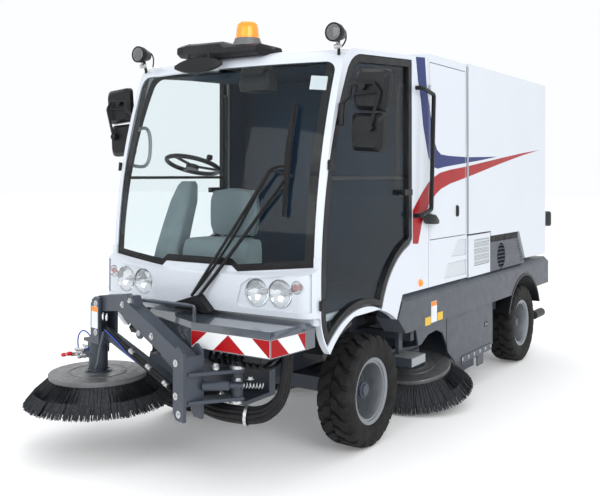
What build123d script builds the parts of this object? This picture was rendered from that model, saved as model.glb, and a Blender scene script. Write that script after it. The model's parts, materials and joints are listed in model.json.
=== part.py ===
from build123d import *
import math
import os

# A compact street sweeper truck: a cab over a steered front axle, an engine bay, a tipping
# hopper with a rear door, two side brushes, a main broom and a third brush on a front arm.
# Millimetres. +X forward, +Y to the driver's left, +Z up. The origin is on the road, under
# the middle of the front axle.

# ---------------------------------------------------------------- driving dimensions
HALF_WIDTH = 868            # cab, engine bay and hopper sides
WHEELBASE = 2980
TYRE_R = 367.5
TYRE_W = 240
TREAD_DEPTH = 17
RIM_R = 210
TRACK_HALF = 738            # tyre's middle plane
KINGPIN_Y = 600

RAIL_Y = 330                # ladder frame's rail centre
RAIL_W = 80
RAIL_Z0 = 480
RAIL_Z1 = 620
CROSS_MEMBERS = (780, 0, -720, -1500, -1850, -2470, -WHEELBASE, -3600)
CROSS_HALF = 40
OUTRIGGERS = (-760, -1500, -2470, -3600)
CAB_MOUNTS = (560, -560)
JACK_PADS = (-400, -3300)
PAD_HALF = 50
PAD_T = 12
TOW_EYE_X = -3760
TOW_BORE_R = 16             # rear tow eye
FRAME_FRONT_X = 820
FRAME_REAR_X = -3690

CAB_REAR_X = -812
CAB_FLOOR_Z = 900
CAB_WALL = 42
CAB_BOW_X = -2620           # upright axis that the bowed front is turned about
PANEL = 40                  # thickness of a door or body panel
DOOR_GAP = 6
DOOR_FRAME_W = 46
GLASS_T = 6
CAB_SILL_Z = 1190           # where the bowed front starts
COWL_T = 16
HINGE_OUT = 16              # hinge axes stand this far outside the body's sides
KNUCKLE_R = 10
LEAF_REACH = 72             # hinge leaf, from the axis back over the door
LEAF_FOOT = 34              # where the leaf first touches the door

BAY_FRONT_X = -818
BAY_REAR_X = -1552
BAY_Z0 = 957
BAY_Z1 = 2699
HOPPER_FRONT_X = -1600
HOPPER_REAR_X = -3676
HOPPER_Z1 = 2716
HOPPER_PIVOT = (-3660, 960)
LIFT_BASE = (-1850, 670)    # lift cylinder's pin on the frame
LIFT_EYE = (-3350, 930)     # lift cylinder's pin on the hopper
LIFT_Y = 200
LIFT_PIN_R = 16
LIFT_DRIFT = 23             # how far the rod's eye may leave its pin

SIDE_RAIL_Y0 = HALF_WIDTH - 168
SIDE_RAIL_Y1 = HALF_WIDTH + 6
SIDE_RAIL_Z0 = 679
SIDE_RAIL_Z1 = 900          # top of the upright face
SIDE_RAIL_TOP = 945         # top of the bevel
SIDE_RAIL_REAR_X = -3729

BRUSH_TILT = 14             # side brush leans forward, degrees
SIDE_DISC = (-1080, 623, 303)
SIDE_DISC_R = 281
SIDE_TIP_R = 439
SIDE_BRUSH_H = 200
SIDE_ARM_PIVOT = (-600, 430)

FRONT_DISC_Z = 497
FRONT_DISC_R = 321
FRONT_TIP_R = 477
FRONT_BRUSH_H = 199
ARM_SWING = (1050, 538)     # upright pivot of the front arm
ARM_POST = (1250, 328)      # upright post at the arm's root
ARM_HEADING = -104.13       # where the arm points, degrees from +X
ARM_LOW_Z = 550             # lower link's pin at the post
ARM_HIGH_Z = 735            # beam's pin at the post
ARM_RISE = 225              # how much higher the far pins are
ARM_REACH = 930             # level distance from post to head pins
ARM_ELBOW = (690, 990)      # bend in the beam (reach, z)
ARM_HALF = 44               # half the beam's width
ARM_CHEEK = (50, 70)        # the fork plates on each side of beam and link
ARM_PIN_R = 12
ARM_CYLINDER_FOOT = (0, 640)
ARM_CYLINDER_EYE = (442, 837)
HEAD_TO_DISC = 98           # head pins to the front brush's axis

DRIVER_Y = -420
BROOM_X = -2050
BROOM_R = 230
BROOM_Z = 236
BROOM_HALF = 600


# ---------------------------------------------------------------- helpers
def block(x0, x1, y0, y1, z0, z1):
    """Box between two corners."""
    size = (abs(x1 - x0), abs(y1 - y0), abs(z1 - z0))
    return Pos((x0 + x1) / 2, (y0 + y1) / 2, (z0 + z1) / 2) * Box(*size)


def across(face, y0, y1):
    """A face drawn with (x, z) made solid from y0 to y1."""
    return extrude(Plane.XZ.offset(-y1) * face, amount=y1 - y0)


def along(face, x0, x1):
    """A face drawn with (y, z) made solid from x0 to x1."""
    return extrude(Plane.YZ.offset(x0) * face, amount=x1 - x0)


def upright(face, z0, z1):
    """A face drawn with (x, y) made solid from z0 to z1."""
    return extrude(Plane.XY.offset(z0) * face, amount=z1 - z0)


def outline(*points):
    return make_face(Polyline(*points, close=True))


def mirrored(shape):
    """The same piece on the other side of the vehicle."""
    return mirror(shape, about=Plane.XZ)


def both_sides(shape):
    return Compound(children=[*solids_of(shape), *solids_of(mirrored(shape))])


def solids_of(shape):
    return list(shape.solids())


def rod(start, end, radius, sides=0):
    """Bar from one point to another: round, or many-sided where it is thin."""
    start = Vector(*start)
    run = Vector(*end) - start
    section = RegularPolygon(radius, sides) if sides else Circle(radius)
    return Plane(origin=start, z_dir=run) * extrude(section, amount=run.length)


def tube_path(points, bend, radius, sides=8):
    """Tube along straight runs joined by bends, as many-sided as its thickness needs."""
    path = FilletPolyline(*points, radius=bend)
    start = Plane(origin=path @ 0, z_dir=path % 0)
    return sweep(start * RegularPolygon(radius, sides), path=path)


def faceted(profile, sides):
    """Many-sided solid of revolution about Z, from (height, radius) pairs."""
    rings = [Plane.XY.offset(height) * RegularPolygon(radius, sides) for height, radius in profile]
    return loft(rings, ruled=True)


def hinge_knuckle(centre, axis, length):
    """Knuckle round a hinge's axis on the left side, with a leaf that runs back on to the door."""
    seat = Plane(origin=centre, z_dir=axis)
    barrel = seat.offset(-length / 2) * extrude(Circle(KNUCKLE_R), amount=length)
    x, z = centre[0], centre[2]
    half = length / 2 - 4
    leaf = block(x - LEAF_REACH, x, HALF_WIDTH + 2, HALF_WIDTH + 10, z - half, z + half)
    foot = block(x - LEAF_REACH, x - LEAF_FOOT, HALF_WIDTH, HALF_WIDTH + 10, z - half, z + half)
    return barrel.fuse(leaf, foot)


def save(name, *shapes):
    """Writes one node, with all its solids."""
    solids = [s for shape in shapes for s in solids_of(shape)]
    export_step(Compound(children=solids) if len(solids) > 1 else solids[0], f"parts/{name}.step")
    print(name, len(solids))


os.makedirs("parts", exist_ok=True)


# ---------------------------------------------------------------- wheels
TYRE_SIDES = 40
LUG_COUNT = 20
LUG_SHARE = 0.64            # lug's part of its pitch
BEAD_R = RIM_R - 12
LIP_Y = TYRE_W / 2 - 34       # where the rim's lips start
TYRE_FIT = 0.6


def tyre():
    """Lugged tyre about the Y axis: a carcass and two rows of tread blocks, half a pitch apart."""
    base_r = TYRE_R - TREAD_DEPTH
    half = TYRE_W / 2
    bead_half = half - 20
    carcass = faceted(
        [
            (-bead_half, RIM_R + 10), (-half, RIM_R + 54), (-half + 5, base_r - 30), (-half + 34, base_r),
            (half - 34, base_r), (half - 5, base_r - 30), (half, RIM_R + 54), (bead_half, RIM_R + 10),
        ],
        TYRE_SIDES,
    )
    carcass = carcass - faceted([(-half, BEAD_R), (half, BEAD_R)], TYRE_SIDES)
    for low, high in ((-half, -LIP_Y), (LIP_Y, half)):
        carcass = carcass - faceted([(low, RIM_R), (high, RIM_R)], TYRE_SIDES)
    pitch = 360 / LUG_COUNT
    spread = math.radians(pitch * LUG_SHARE) / 2
    lug_faces = []
    for reach, turn in ((base_r - 24, -1), (TYRE_R, -1), (TYRE_R, 1), (base_r - 24, 1)):
        lug_faces.append((reach * math.cos(turn * spread), reach * math.sin(turn * spread)))
    lugs = []
    for side in (1, -1):
        bottom, top = sorted((side * 8, side * (half - 7)))
        lug = extrude(Plane.XY.offset(bottom) * outline(*lug_faces), amount=top - bottom)
        phase = 0 if side > 0 else pitch / 2
        lugs += [Rot(0, 0, i * pitch + phase) * lug for i in range(LUG_COUNT)]
    return Rot(-90, 0, 0) * carcass.fuse(*lugs)


def rim():
    """Dished steel wheel about the Y axis, open towards the vehicle, face on +Y."""
    half = TYRE_W / 2
    lip = LIP_Y + TYRE_FIT
    seat_r = BEAD_R - TYRE_FIT
    well_r = BEAD_R - 16
    wheel = faceted([(-lip, seat_r), (lip, seat_r)], TYRE_SIDES)
    for low in (-lip - 14, lip):
        wheel = wheel.fuse(faceted([(low, RIM_R - 3), (low + 14, RIM_R - 3)], TYRE_SIDES))
    wheel = wheel - faceted([(-half, well_r), (half - 90, well_r)], TYRE_SIDES)
    wheel = wheel - faceted([(half - 70, 138), (half - 48, well_r - 6), (half, well_r + 2)], TYRE_SIDES)
    hub = faceted([(half - 92, 78), (half - 50, 78), (half - 40, 66)], TYRE_SIDES // 2)
    return Rot(-90, 0, 0) * wheel.fuse(hub)


TYRE = tyre()
RIM = rim()
WHEELS = {
    "front_left": (0, TRACK_HALF),
    "front_right": (0, -TRACK_HALF),
    "rear_left": (-WHEELBASE, TRACK_HALF),
    "rear_right": (-WHEELBASE, -TRACK_HALF),
}
for place, (wheel_x, wheel_y) in WHEELS.items():
    seat = Pos(wheel_x, wheel_y, TYRE_R)
    turned = seat if wheel_y > 0 else seat * Rot(0, 0, 180)
    save(f"tyre_{place}", turned * TYRE)
    save(f"rim_{place}", turned * RIM)

# ---------------------------------------------------------------- axles and knuckles
AXLE_Z = TYRE_R
EAR_T = 22
BOSS_HALF = 70
AXLE_END = TRACK_HALF + TYRE_W / 2 - 93   # just inside the wheel's disc
beam = block(-48, 48, -KINGPIN_Y + 62, KINGPIN_Y - 62, AXLE_Z - 48, AXLE_Z + 48)
yoke = []
for side in (1, -1):
    for level in (1, -1):
        z0 = AXLE_Z + level * (BOSS_HALF + 1)
        z1 = z0 + level * EAR_T
        yoke.append(block(-42, 42, side * (KINGPIN_Y - 80), side * KINGPIN_Y, min(z0, z1), max(z0, z1)))
        yoke.append(Pos(0, side * KINGPIN_Y, min(z0, z1)) * extrude(Circle(42), amount=EAR_T))
    yoke.append(block(-42, 42, side * (KINGPIN_Y - 84), side * (KINGPIN_Y - 56), AXLE_Z - 93, AXLE_Z + 93))
cradle = block(-75, 75, -120, 120, AXLE_Z + 40, RAIL_Z0)
rear_beam = block(-WHEELBASE - 55, -WHEELBASE + 55, -560, 560, AXLE_Z - 50, AXLE_Z + 50)
rear_parts = [rear_beam]
for side in (1, -1):
    motor = Plane(origin=(-WHEELBASE, side * 540, AXLE_Z), z_dir=(0, side, 0))
    rear_parts.append(motor * extrude(Circle(110), amount=80))
    rear_parts.append(motor * extrude(Circle(60), amount=AXLE_END - 540))
    rear_parts.append(block(-WHEELBASE - 45, -WHEELBASE + 45, side * (RAIL_Y - 40), side * (RAIL_Y + 40), AXLE_Z + 40, RAIL_Z0))
front_axle = beam.fuse(*yoke, cradle)
for side in (1, -1):
    front_axle = front_axle - Pos(0, side * KINGPIN_Y, AXLE_Z) * Cylinder(18.05, 300)
rear_axle = rear_beam.fuse(*rear_parts[1:])
save("axles", front_axle, rear_axle)

for name, side in (("left", 1), ("right", -1)):
    pin = Pos(0, side * KINGPIN_Y, AXLE_Z)
    boss = pin * Cylinder(38, 2 * BOSS_HALF) + pin * Cylinder(18, 2 * BOSS_HALF + 2 * EAR_T)
    stub = Plane(origin=(0, side * KINGPIN_Y, AXLE_Z), z_dir=(0, side, 0))
    spindle = stub * extrude(Circle(36), amount=AXLE_END - KINGPIN_Y)
    flange = stub * extrude(Circle(100), amount=24)
    flange = Pos(0, side * 54, 0) * flange
    arm = block(-150, 0, side * (KINGPIN_Y - 14), side * (KINGPIN_Y + 14), AXLE_Z - 64, AXLE_Z - 44)
    save(f"knuckle_{name}", boss.fuse(spindle, flange, arm))

# ---------------------------------------------------------------- ladder frame
RAIL_IN = RAIL_Y - RAIL_W / 2
RAIL_OUT = RAIL_Y + RAIL_W / 2
rails = []
for side in (1, -1):
    rails.append(block(FRAME_REAR_X, FRAME_FRONT_X, side * RAIL_IN, side * RAIL_OUT, RAIL_Z0, RAIL_Z1))
save("frame_rails", *rails)

members = {x: block(x - CROSS_HALF, x + CROSS_HALF, -RAIL_IN, RAIL_IN, RAIL_Z0, RAIL_Z1) for x in CROSS_MEMBERS}
LUG_R = 34
LUG_Y = (LIFT_Y + 50, LIFT_Y + 70)
for side in (1, -1):
    lug = across(Pos(*LIFT_BASE) * Circle(LUG_R), *sorted((side * LUG_Y[0], side * LUG_Y[1])))
    foot = block(LIFT_BASE[0] - LUG_R, LIFT_BASE[0] + LUG_R, side * LUG_Y[0], side * LUG_Y[1], RAIL_Z1 - 20, LIFT_BASE[1])
    pin = across(Pos(*LIFT_BASE) * Circle(LIFT_PIN_R), *sorted((side * (LIFT_Y - 32), side * LUG_Y[0])))
    members[CROSS_MEMBERS[4]] = members[CROSS_MEMBERS[4]].fuse(lug, foot, pin)
lift_pocket = across(Pos(*LIFT_BASE) * Circle(44), -LUG_Y[0], LUG_Y[0]) - across(Pos(*LIFT_BASE) * Circle(LIFT_PIN_R), -LUG_Y[0], LUG_Y[0])
members[CROSS_MEMBERS[4]] = members[CROSS_MEMBERS[4]] - lift_pocket
rear_x = CROSS_MEMBERS[-1]
tow_plate = block(TOW_EYE_X - 40, rear_x, -45, 45, 540, 562) - Pos(TOW_EYE_X, 0, 540) * Cylinder(TOW_BORE_R, 100)
members[rear_x] = members[rear_x].fuse(tow_plate)
save("cross_members", *members.values())

brackets = []
for x in OUTRIGGERS:
    for side in (1, -1):
        reach = block(x - 30, x + 30, side * RAIL_OUT, side * SIDE_RAIL_Y0, RAIL_Z1 - 60, RAIL_Z1)
        hanger = block(x - 30, x + 30, side * (SIDE_RAIL_Y0 - 12), side * (SIDE_RAIL_Y0 + 60), RAIL_Z1 - 60, SIDE_RAIL_Z0)
        brackets.append(reach.fuse(hanger))
for x in CAB_MOUNTS:
    for side in (1, -1):
        brackets.append(block(x - 50, x + 50, side * RAIL_IN, side * RAIL_OUT, RAIL_Z1, CAB_FLOOR_Z))
save("frame_brackets", *brackets)
pads = []
for x in JACK_PADS:
    for side in (1, -1):
        pads.append(block(x - PAD_HALF, x + PAD_HALF, side * (RAIL_Y - PAD_HALF), side * (RAIL_Y + PAD_HALF), RAIL_Z0 - PAD_T, RAIL_Z0))
save("jack_pads", *pads)

ARM_BASE_Z = (RAIL_Z0, RAIL_Z1 + 110)
ARM_BASE_T = 24
arm_base_plan = outline(
    (FRAME_FRONT_X - 60, RAIL_OUT), (FRAME_FRONT_X - 60, ARM_SWING[1] + 60), (ARM_SWING[0], ARM_SWING[1] + 60),
    (ARM_SWING[0], ARM_SWING[1] - 60), (FRAME_FRONT_X + 40, RAIL_IN - 60), (FRAME_FRONT_X, RAIL_IN - 60), (FRAME_FRONT_X, RAIL_OUT),
)
arm_base = block(FRAME_FRONT_X - 60, FRAME_FRONT_X, RAIL_OUT, ARM_SWING[1] + 60, RAIL_Z0, ARM_BASE_Z[1] + ARM_BASE_T)
for z in ARM_BASE_Z:
    arm_base = arm_base.fuse(upright(arm_base_plan, z, z + ARM_BASE_T))
save("arm_base", arm_base)

# ---------------------------------------------------------------- side rails, skirts, mudguards
rail_section = outline(
    (SIDE_RAIL_Y0, SIDE_RAIL_Z0), (SIDE_RAIL_Y1, SIDE_RAIL_Z0), (SIDE_RAIL_Y1, SIDE_RAIL_Z1),
    (SIDE_RAIL_Y1 - 45, SIDE_RAIL_TOP), (SIDE_RAIL_Y0, SIDE_RAIL_TOP),
)
rail_face = outline(
    (-400, SIDE_RAIL_TOP), (-312, 795), (-434, SIDE_RAIL_Z0), (SIDE_RAIL_REAR_X, SIDE_RAIL_Z0),
    (SIDE_RAIL_REAR_X, SIDE_RAIL_TOP),
)
side_rail = along(rail_section, SIDE_RAIL_REAR_X, 0) & across(rail_face, 0, HALF_WIDTH + 40)
arch_rear = across(Pos(-WHEELBASE, AXLE_Z) * Circle(480), SIDE_RAIL_Y0 - 100, SIDE_RAIL_Y1 + 10)
side_rail = side_rail - arch_rear
SKIRT_Y0 = HALF_WIDTH - 36
SKIRT_Y1 = SKIRT_Y0 + 12
skirt_face = outline(
    (-650, SIDE_RAIL_Z0), (-690, 545), (-735, 545), (-860, 600), (-1012, 610), (-1120, 570), (-1199, 463),
    (-1225, 400), (-1375, 290), (-2205, 302), (-2205, SIDE_RAIL_Z0),
)
skirt = across(skirt_face, SKIRT_Y0, SKIRT_Y1)
skirt_flap = block(-2005, -1867, SKIRT_Y0 - 10, SKIRT_Y0, 165, 400)
rubber_strip = block(-2149, -1490, SKIRT_Y1, SKIRT_Y1 + 6, 262, 318)
save("side_rails", both_sides(side_rail))
save("lower_skirts", both_sides(skirt.fuse(skirt_flap, rubber_strip)))

fender_ring = across(
    Pos(-WHEELBASE, AXLE_Z) * (Circle(478) - Circle(456)), SIDE_RAIL_Y0 - 70, SIDE_RAIL_Y1 + 4
)
fender_ring = fender_ring & block(-WHEELBASE - 600, -WHEELBASE + 600, 0, 1000, 520, 1000)
front_lip = across(
    make_face(
        Polyline((571, 716), (594, 756))
        + ThreePointArc((594, 756), (430, 868), (250, 925))
        + Polyline((250, 925), (238, 886))
        + ThreePointArc((238, 886), (410, 826), (571, 716))
    ),
    HALF_WIDTH - 160, HALF_WIDTH - 20,
)
save("mudguards", both_sides(fender_ring), both_sides(Pos(-14, -30, -50) * front_lip))


# ---------------------------------------------------------------- cab
def bowed(x):
    """Where a front line at the cab's side comes to at its middle."""
    return CAB_BOW_X + math.hypot(x - CAB_BOW_X, HALF_WIDTH)


def cab_form(inset=0, foot=CAB_FLOOR_Z):
    """Solid of the cab's outside, or its hollow when inset."""
    front = [(672, foot), (672, 1242), (612, 1800), (413, 2504), (375, 2560), (300, 2594)]
    front = [(bowed(x - inset), z) for x, z in front]
    foot_pt = (front[0][0], foot + inset)
    roof = (front[5][0], front[5][1] - inset)
    profile = make_face(
        Polyline(foot_pt, front[1])
        + ThreePointArc(front[1], front[2], front[3])
        + ThreePointArc(front[3], (front[4][0], front[4][1] - inset * 0.7), roof)
        + Polyline(roof, (-800, 2676 - inset), (-2000, 2690 - inset), (-2000, foot + inset), foot_pt)
    )
    turn = 30
    bow_axis = Axis((CAB_BOW_X, 0, 0), (0, 0, 1))
    form = revolve((Plane.XZ * profile).rotate(bow_axis, -turn), axis=bow_axis, revolution_arc=2 * turn)
    side = HALF_WIDTH - inset
    return form & block(CAB_REAR_X + inset, 1200, -side, side, 0, 3000)


def door_outline():
    """Outline of the door opening, drawn with (x, z)."""
    return make_face(
        Polyline((672, 1055), (672, 949))
        + ThreePointArc((672, 949), (650, 850), (600, 762))
        + ThreePointArc((600, 762), (270, 932), (-88, 892))
        + ThreePointArc((-88, 892), (-240, 1140), (-493, 1289))
        + Polyline((-493, 1289), (-543, 1330), (-543, 2618), (180, 2570))
        + ThreePointArc((180, 2570), (290, 2535), (360, 2461))
        + ThreePointArc((360, 2461), (584, 1853), (672, 1055))
    )


def cab_tub(inset=0):
    """Solid of the square-fronted lower cab, or its hollow when inset."""
    side = HALF_WIDTH - inset
    nose = 730 - inset
    plan = outline(
        (CAB_REAR_X + inset, -side), (660 - inset, -side), (700 - inset, -side + 34), (nose, -side + 110),
        (nose, side - 110), (700 - inset, side - 34), (660 - inset, side), (CAB_REAR_X + inset, side),
    )
    return upright(plan, CAB_FLOOR_Z + inset, CAB_SILL_Z + (30 if inset else 0))


SCREEN_LOW = HALF_WIDTH - 45
SCREEN_TOP = HALF_WIDTH - 40
SCREEN_DIP = 314             # where the screen's lower edge is deepest, beside the wiper's base
screen_face = outline(
    (-SCREEN_LOW, 1242), (-SCREEN_DIP, 1196), (-SCREEN_DIP + 44, 1230), (SCREEN_DIP - 44, 1230), (SCREEN_DIP, 1196),
    (SCREEN_LOW, 1242), (SCREEN_TOP, 2500), (-SCREEN_TOP, 2500),
)
screen_face = fillet([v for v in screen_face.vertices() if v.Y > 2400], 70)
screen_prism = along(screen_face, 330, 1000)
cab = cab_form(0, CAB_SILL_Z).fuse(cab_tub())
cab = cab - cab_form(CAB_WALL, CAB_SILL_Z + COWL_T - CAB_WALL) - cab_tub(CAB_WALL)
door_hole = across(door_outline(), HALF_WIDTH - 60, HALF_WIDTH + 20)
cab = cab - door_hole - mirrored(door_hole) - screen_prism
sill = across(
    make_face(
        Polyline((690, 949), (676, 930))
        + ThreePointArc((676, 930), (640, 800), (571, 716))
        + ThreePointArc((571, 716), (272, 902), (-102, 883))
        + ThreePointArc((-102, 883), (-210, 845), (-302, 795))
        + Polyline((-302, 795), (-389, SIDE_RAIL_TOP + 12), (-812, SIDE_RAIL_TOP + 12))
        + Polyline((-812, SIDE_RAIL_TOP + 12), (-812, 1320), (690, 1320), (690, 949))
    ),
    HALF_WIDTH - CAB_WALL, HALF_WIDTH,
)
sill = (sill - door_hole) & block(CAB_REAR_X, 690, 0, HALF_WIDTH, 600, 1300)
cab = cab.fuse(sill, mirrored(sill))
rail_notch = across(outline((-900, 600), (-900, 957), (-389, 957), (-302, 795), (-302, 600)), SIDE_RAIL_Y0 - 10, 900)
cab = cab - rail_notch - mirrored(rail_notch)
save("cab_shell", cab)

GLASS_SET = 6
screen = (cab_form(GLASS_SET) - cab_form(GLASS_SET + GLASS_T)) & screen_prism
save("windscreen", screen)

# ---------------------------------------------------------------- front panel and lamps
FASCIA_X = 785
FASCIA_Z0 = 950
LAMP_X = 730                 # lamp bowls seat on the cab's front wall
LAMP_GAP = 1
CORNER_IN = 103              # how far in from the cab's side the corner's curve starts


def fascia_plan(back=0):
    """Bowed front with rounded corners, set back a little for a recess."""
    nose = FASCIA_X - back
    side = HALF_WIDTH - back
    return make_face(
        Polyline((600, -side), (672, -side))
        + ThreePointArc((672, -side), (nose - 35, -side + 26), (nose - 4, -side + CORNER_IN))
        + ThreePointArc((nose - 4, -side + CORNER_IN), (nose + 18, 0), (nose - 4, side - CORNER_IN))
        + ThreePointArc((nose - 4, side - CORNER_IN), (nose - 35, side - 26), (672, side))
        + Polyline((672, side), (600, side), (600, -side))
    )


fascia_side = outline((600, FASCIA_Z0), (820, FASCIA_Z0), (820, 1120), (800, 1180), (690, 1240), (600, 1240))
fascia_full = upright(fascia_plan(), FASCIA_Z0, 1240) & across(fascia_side, -HALF_WIDTH, HALF_WIDTH)
fascia = fascia_full - cab_form(0, CAB_SILL_Z) - cab_tub() - cab - door_hole - mirrored(door_hole)
pod = outline(
    (HALF_WIDTH - 533, 1000), (HALF_WIDTH - 533, 1023), (HALF_WIDTH - 502, 1124), (HALF_WIDTH - 440, 1165),
    (HALF_WIDTH - 20, 1210), (HALF_WIDTH - 20, 985), (HALF_WIDTH - 480, 985),
)
pod_cut = along(pod, 700, 900) - upright(fascia_plan(10), FASCIA_Z0 - 10, 1300)
fascia = fascia - pod_cut - mirrored(pod_cut)
LAMPS = ((224, 1083, 88), (393, 1078, 88), (106, 1130, 40))   # (in from the side, z, radius)
lenses = []
for inboard, z, radius in LAMPS:
    for side in (1, -1):
        y = side * (HALF_WIDTH - inboard)
        fascia = fascia - Plane(origin=(FASCIA_X + 30, y, z), z_dir=(-1, 0, 0)) * extrude(Circle(radius), amount=100)
        lens = Plane(origin=(LAMP_X, y, z), z_dir=(1, 0, 0)) * extrude(Circle(radius - LAMP_GAP), amount=40)
        lenses.append(lens.fuse(Plane(origin=(LAMP_X + 40, y, z), z_dir=(1, 0, 0)) * extrude(Circle(radius - 8), amount=7)))
save("front_panel", fascia)
save("headlamps", *lenses)

# ---------------------------------------------------------------- bumper shelf
BUMPER_Z0 = 789
BUMPER_Z1 = 900
BUMPER_WALL = 16
LID_RISE = 26


def bumper_plan(inset=0, rise=0):
    """Shelf seen from above; rise pulls the front edges back for the bevelled lid."""
    side = HALF_WIDTH - inset - rise * 1.4
    return outline(
        (740 - inset * 2.5, -380 + inset + rise * 0.8), (890 - inset * 0.6 - rise * 0.8, -330 + inset * 0.9 + rise * 0.6),
        (1150 - inset - rise * 2, 277 + inset * 0.3 - rise * 1.8), (1150 - inset - rise * 2, side - 25),
        (843, side), (740 - inset * 2.5, side),
    )


bumper = upright(bumper_plan(), BUMPER_Z0, BUMPER_Z1) - upright(bumper_plan(BUMPER_WALL), BUMPER_Z0 - 1, BUMPER_Z1 - 14)
lid = loft([Plane.XY.offset(BUMPER_Z1) * bumper_plan(), Plane.XY.offset(BUMPER_Z1 + LID_RISE) * bumper_plan(0, LID_RISE)], ruled=True)
bumper = bumper.fuse(lid)
for side in (1, -1):
    bumper = bumper.fuse(block(690, 755, side * RAIL_IN, side * RAIL_OUT, RAIL_Z1, BUMPER_Z1 - 10))

# ---------------------------------------------------------------- doors with mirrors
DOOR_Y0 = HALF_WIDTH - PANEL
DOOR_LIFT = 8                # the leaning hinge axis carries the lower corner back over the arch as it opens
door_full = offset(door_outline(), amount=-DOOR_GAP)
door_full = door_full & (Pos(0, DOOR_LIFT) * door_full)
door_window = offset(door_outline(), amount=-DOOR_GAP - DOOR_FRAME_W)
door_frame = across(door_full, DOOR_Y0, HALF_WIDTH) - across(door_window, DOOR_Y0 - 5, HALF_WIDTH + 5)
door_glass = across(door_window, HALF_WIDTH - 22 - GLASS_T, HALF_WIDTH - 22)
HINGE_Y = HALF_WIDTH + HINGE_OUT
HINGE_TOP = (606, HINGE_Y, 1853)
HINGE_LOW = (696, HINGE_Y, 1023)
MIRROR_TUBE_X = 480
MIRROR_TUBE_R = 10
MIRROR_LOOP = [
    (24, 2150), (24, 2225), (84, 2268), (94, 2340), (242, 2344), (284, 2284), (229, 2109), (216, 2078),
]                            # (out from the door, z)
mirror_tube = tube_path([(MIRROR_TUBE_X, HALF_WIDTH + out, z) for out, z in MIRROR_LOOP], 22, MIRROR_TUBE_R)
mirror_strut = rod((MIRROR_TUBE_X, HALF_WIDTH + 82, 2276), (MIRROR_TUBE_X, HALF_WIDTH + 282, 2286), 5)
mirror_clamp = rod((484, HALF_WIDTH + 24, 2096), (470, HALF_WIDTH + 24, 2232), 20, 12)
for x0, x1, z in ((448, 484, 2110), (426, 460, 2190)):
    mirror_clamp = mirror_clamp.fuse(block(x0, x1, HALF_WIDTH - 18, HALF_WIDTH + 16, z, z + 30))


def mirror_head(y, z, width, height, lean):
    """Rounded mirror shell facing back, with the glass side flat."""
    shell = []
    for x, shrink, radius in ((398, 0, 34), (430, 6, 36), (456, 52, 40)):
        edge = RectangleRounded(width - shrink, height - shrink, radius)
        shell.append(Plane(origin=(x, y, z), x_dir=(0, 1, 0), z_dir=(1, 0, 0)) * Rot(0, 0, lean) * edge)
    return loft(shell, ruled=True)


mirror_big = mirror_head(HALF_WIDTH + 208, 2308, 236, 256, -5)
mirror_small = mirror_head(HALF_WIDTH + 176, 2052, 224, 238, -3)
mirror_joints = []
for out, z in ((168, 2330), (216, 2078)):
    mirror_joints.append(Plane(origin=(450, HALF_WIDTH + out, z), z_dir=(1, 0, 0)) * extrude(RegularPolygon(24, 12), amount=39))
BAR_Y = DOOR_Y0 - 43
upright_bar = tube_path([(-505, DOOR_Y0 + 2, 2450), (-480, BAR_Y, 2430), (-480, BAR_Y, 1650), (-505, DOOR_Y0 + 2, 1630)], 20, 12)
level_bar = rod((-520, DOOR_Y0 - 4, 1773), (566, DOOR_Y0 - 4, 1773), 11, 8)
door_handle = block(-500, -380, HALF_WIDTH - 4, HALF_WIDTH + 26, 1650, 1690)
hinge_run = Vector(*HINGE_TOP) - Vector(*HINGE_LOW)
hinges = [hinge_knuckle(point, hinge_run, 60) for point in (HINGE_TOP, HINGE_LOW)]
door = door_frame.fuse(
    mirror_tube, mirror_strut, mirror_clamp, mirror_big, mirror_small, *mirror_joints, upright_bar, level_bar,
    door_handle, *hinges,
)
save("door_left", door)
save("door_right", mirrored(door))
save("door_glass_left", door_glass)
save("door_glass_right", mirrored(door_glass))

# ---------------------------------------------------------------- cab inside
CAB_FLOOR_TOP = CAB_FLOOR_Z + CAB_WALL
SEAT_TOP = 1330
seat_base = block(-160, 200, DRIVER_Y - 170, DRIVER_Y + 170, CAB_FLOOR_TOP, SEAT_TOP - 90)
cushion = block(-190, 270, DRIVER_Y - 235, DRIVER_Y + 235, SEAT_TOP - 90, SEAT_TOP)
backrest = across(outline((-190, SEAT_TOP - 10), (-80, SEAT_TOP - 10), (-170, 1690), (-270, 1690)), DRIVER_Y - 235, DRIVER_Y + 205)
save("driver_seat", seat_base.fuse(cushion, backrest))

WHEEL_CENTRE = (347, DRIVER_Y, 1863)
COLUMN_FOOT = (537, DRIVER_Y, 1323)
WHEEL_R = 190
WHEEL_TUBE_R = 15
COLUMN_GAP = 34              # steering wheel's middle to the column's end
dash = across(outline((440, CAB_FLOOR_TOP), (640, CAB_FLOOR_TOP), (640, 1300), (600, 1370), (440, 1370)), -265, 274)
pedestal = block(500, 670, DRIVER_Y - 120, DRIVER_Y + 120, CAB_FLOOR_TOP, 1240)
cover = loft(
    [
        Plane.XY.offset(1200) * Pos(585, DRIVER_Y) * Rectangle(170, 200),
        Plane.XY.offset(1750) * Pos(400, DRIVER_Y) * Rectangle(130, 270),
    ],
    ruled=True,
)
wheel_axis = (Vector(*WHEEL_CENTRE) - Vector(*COLUMN_FOOT)).normalized()
column_end = Vector(*WHEEL_CENTRE) - wheel_axis * COLUMN_GAP
column = Plane(origin=COLUMN_FOOT, z_dir=wheel_axis) * extrude(RegularPolygon(42, 16), amount=(column_end - Vector(*COLUMN_FOOT)).length)
monitor = across(outline((430, 2340), (450, 2500), (480, 2520), (330, 2560), (330, 2340)), 70, 330)
monitor = monitor & cab_form(CAB_WALL, CAB_SILL_Z)
save("dashboard", dash.fuse(pedestal, cover, column), monitor)

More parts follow.
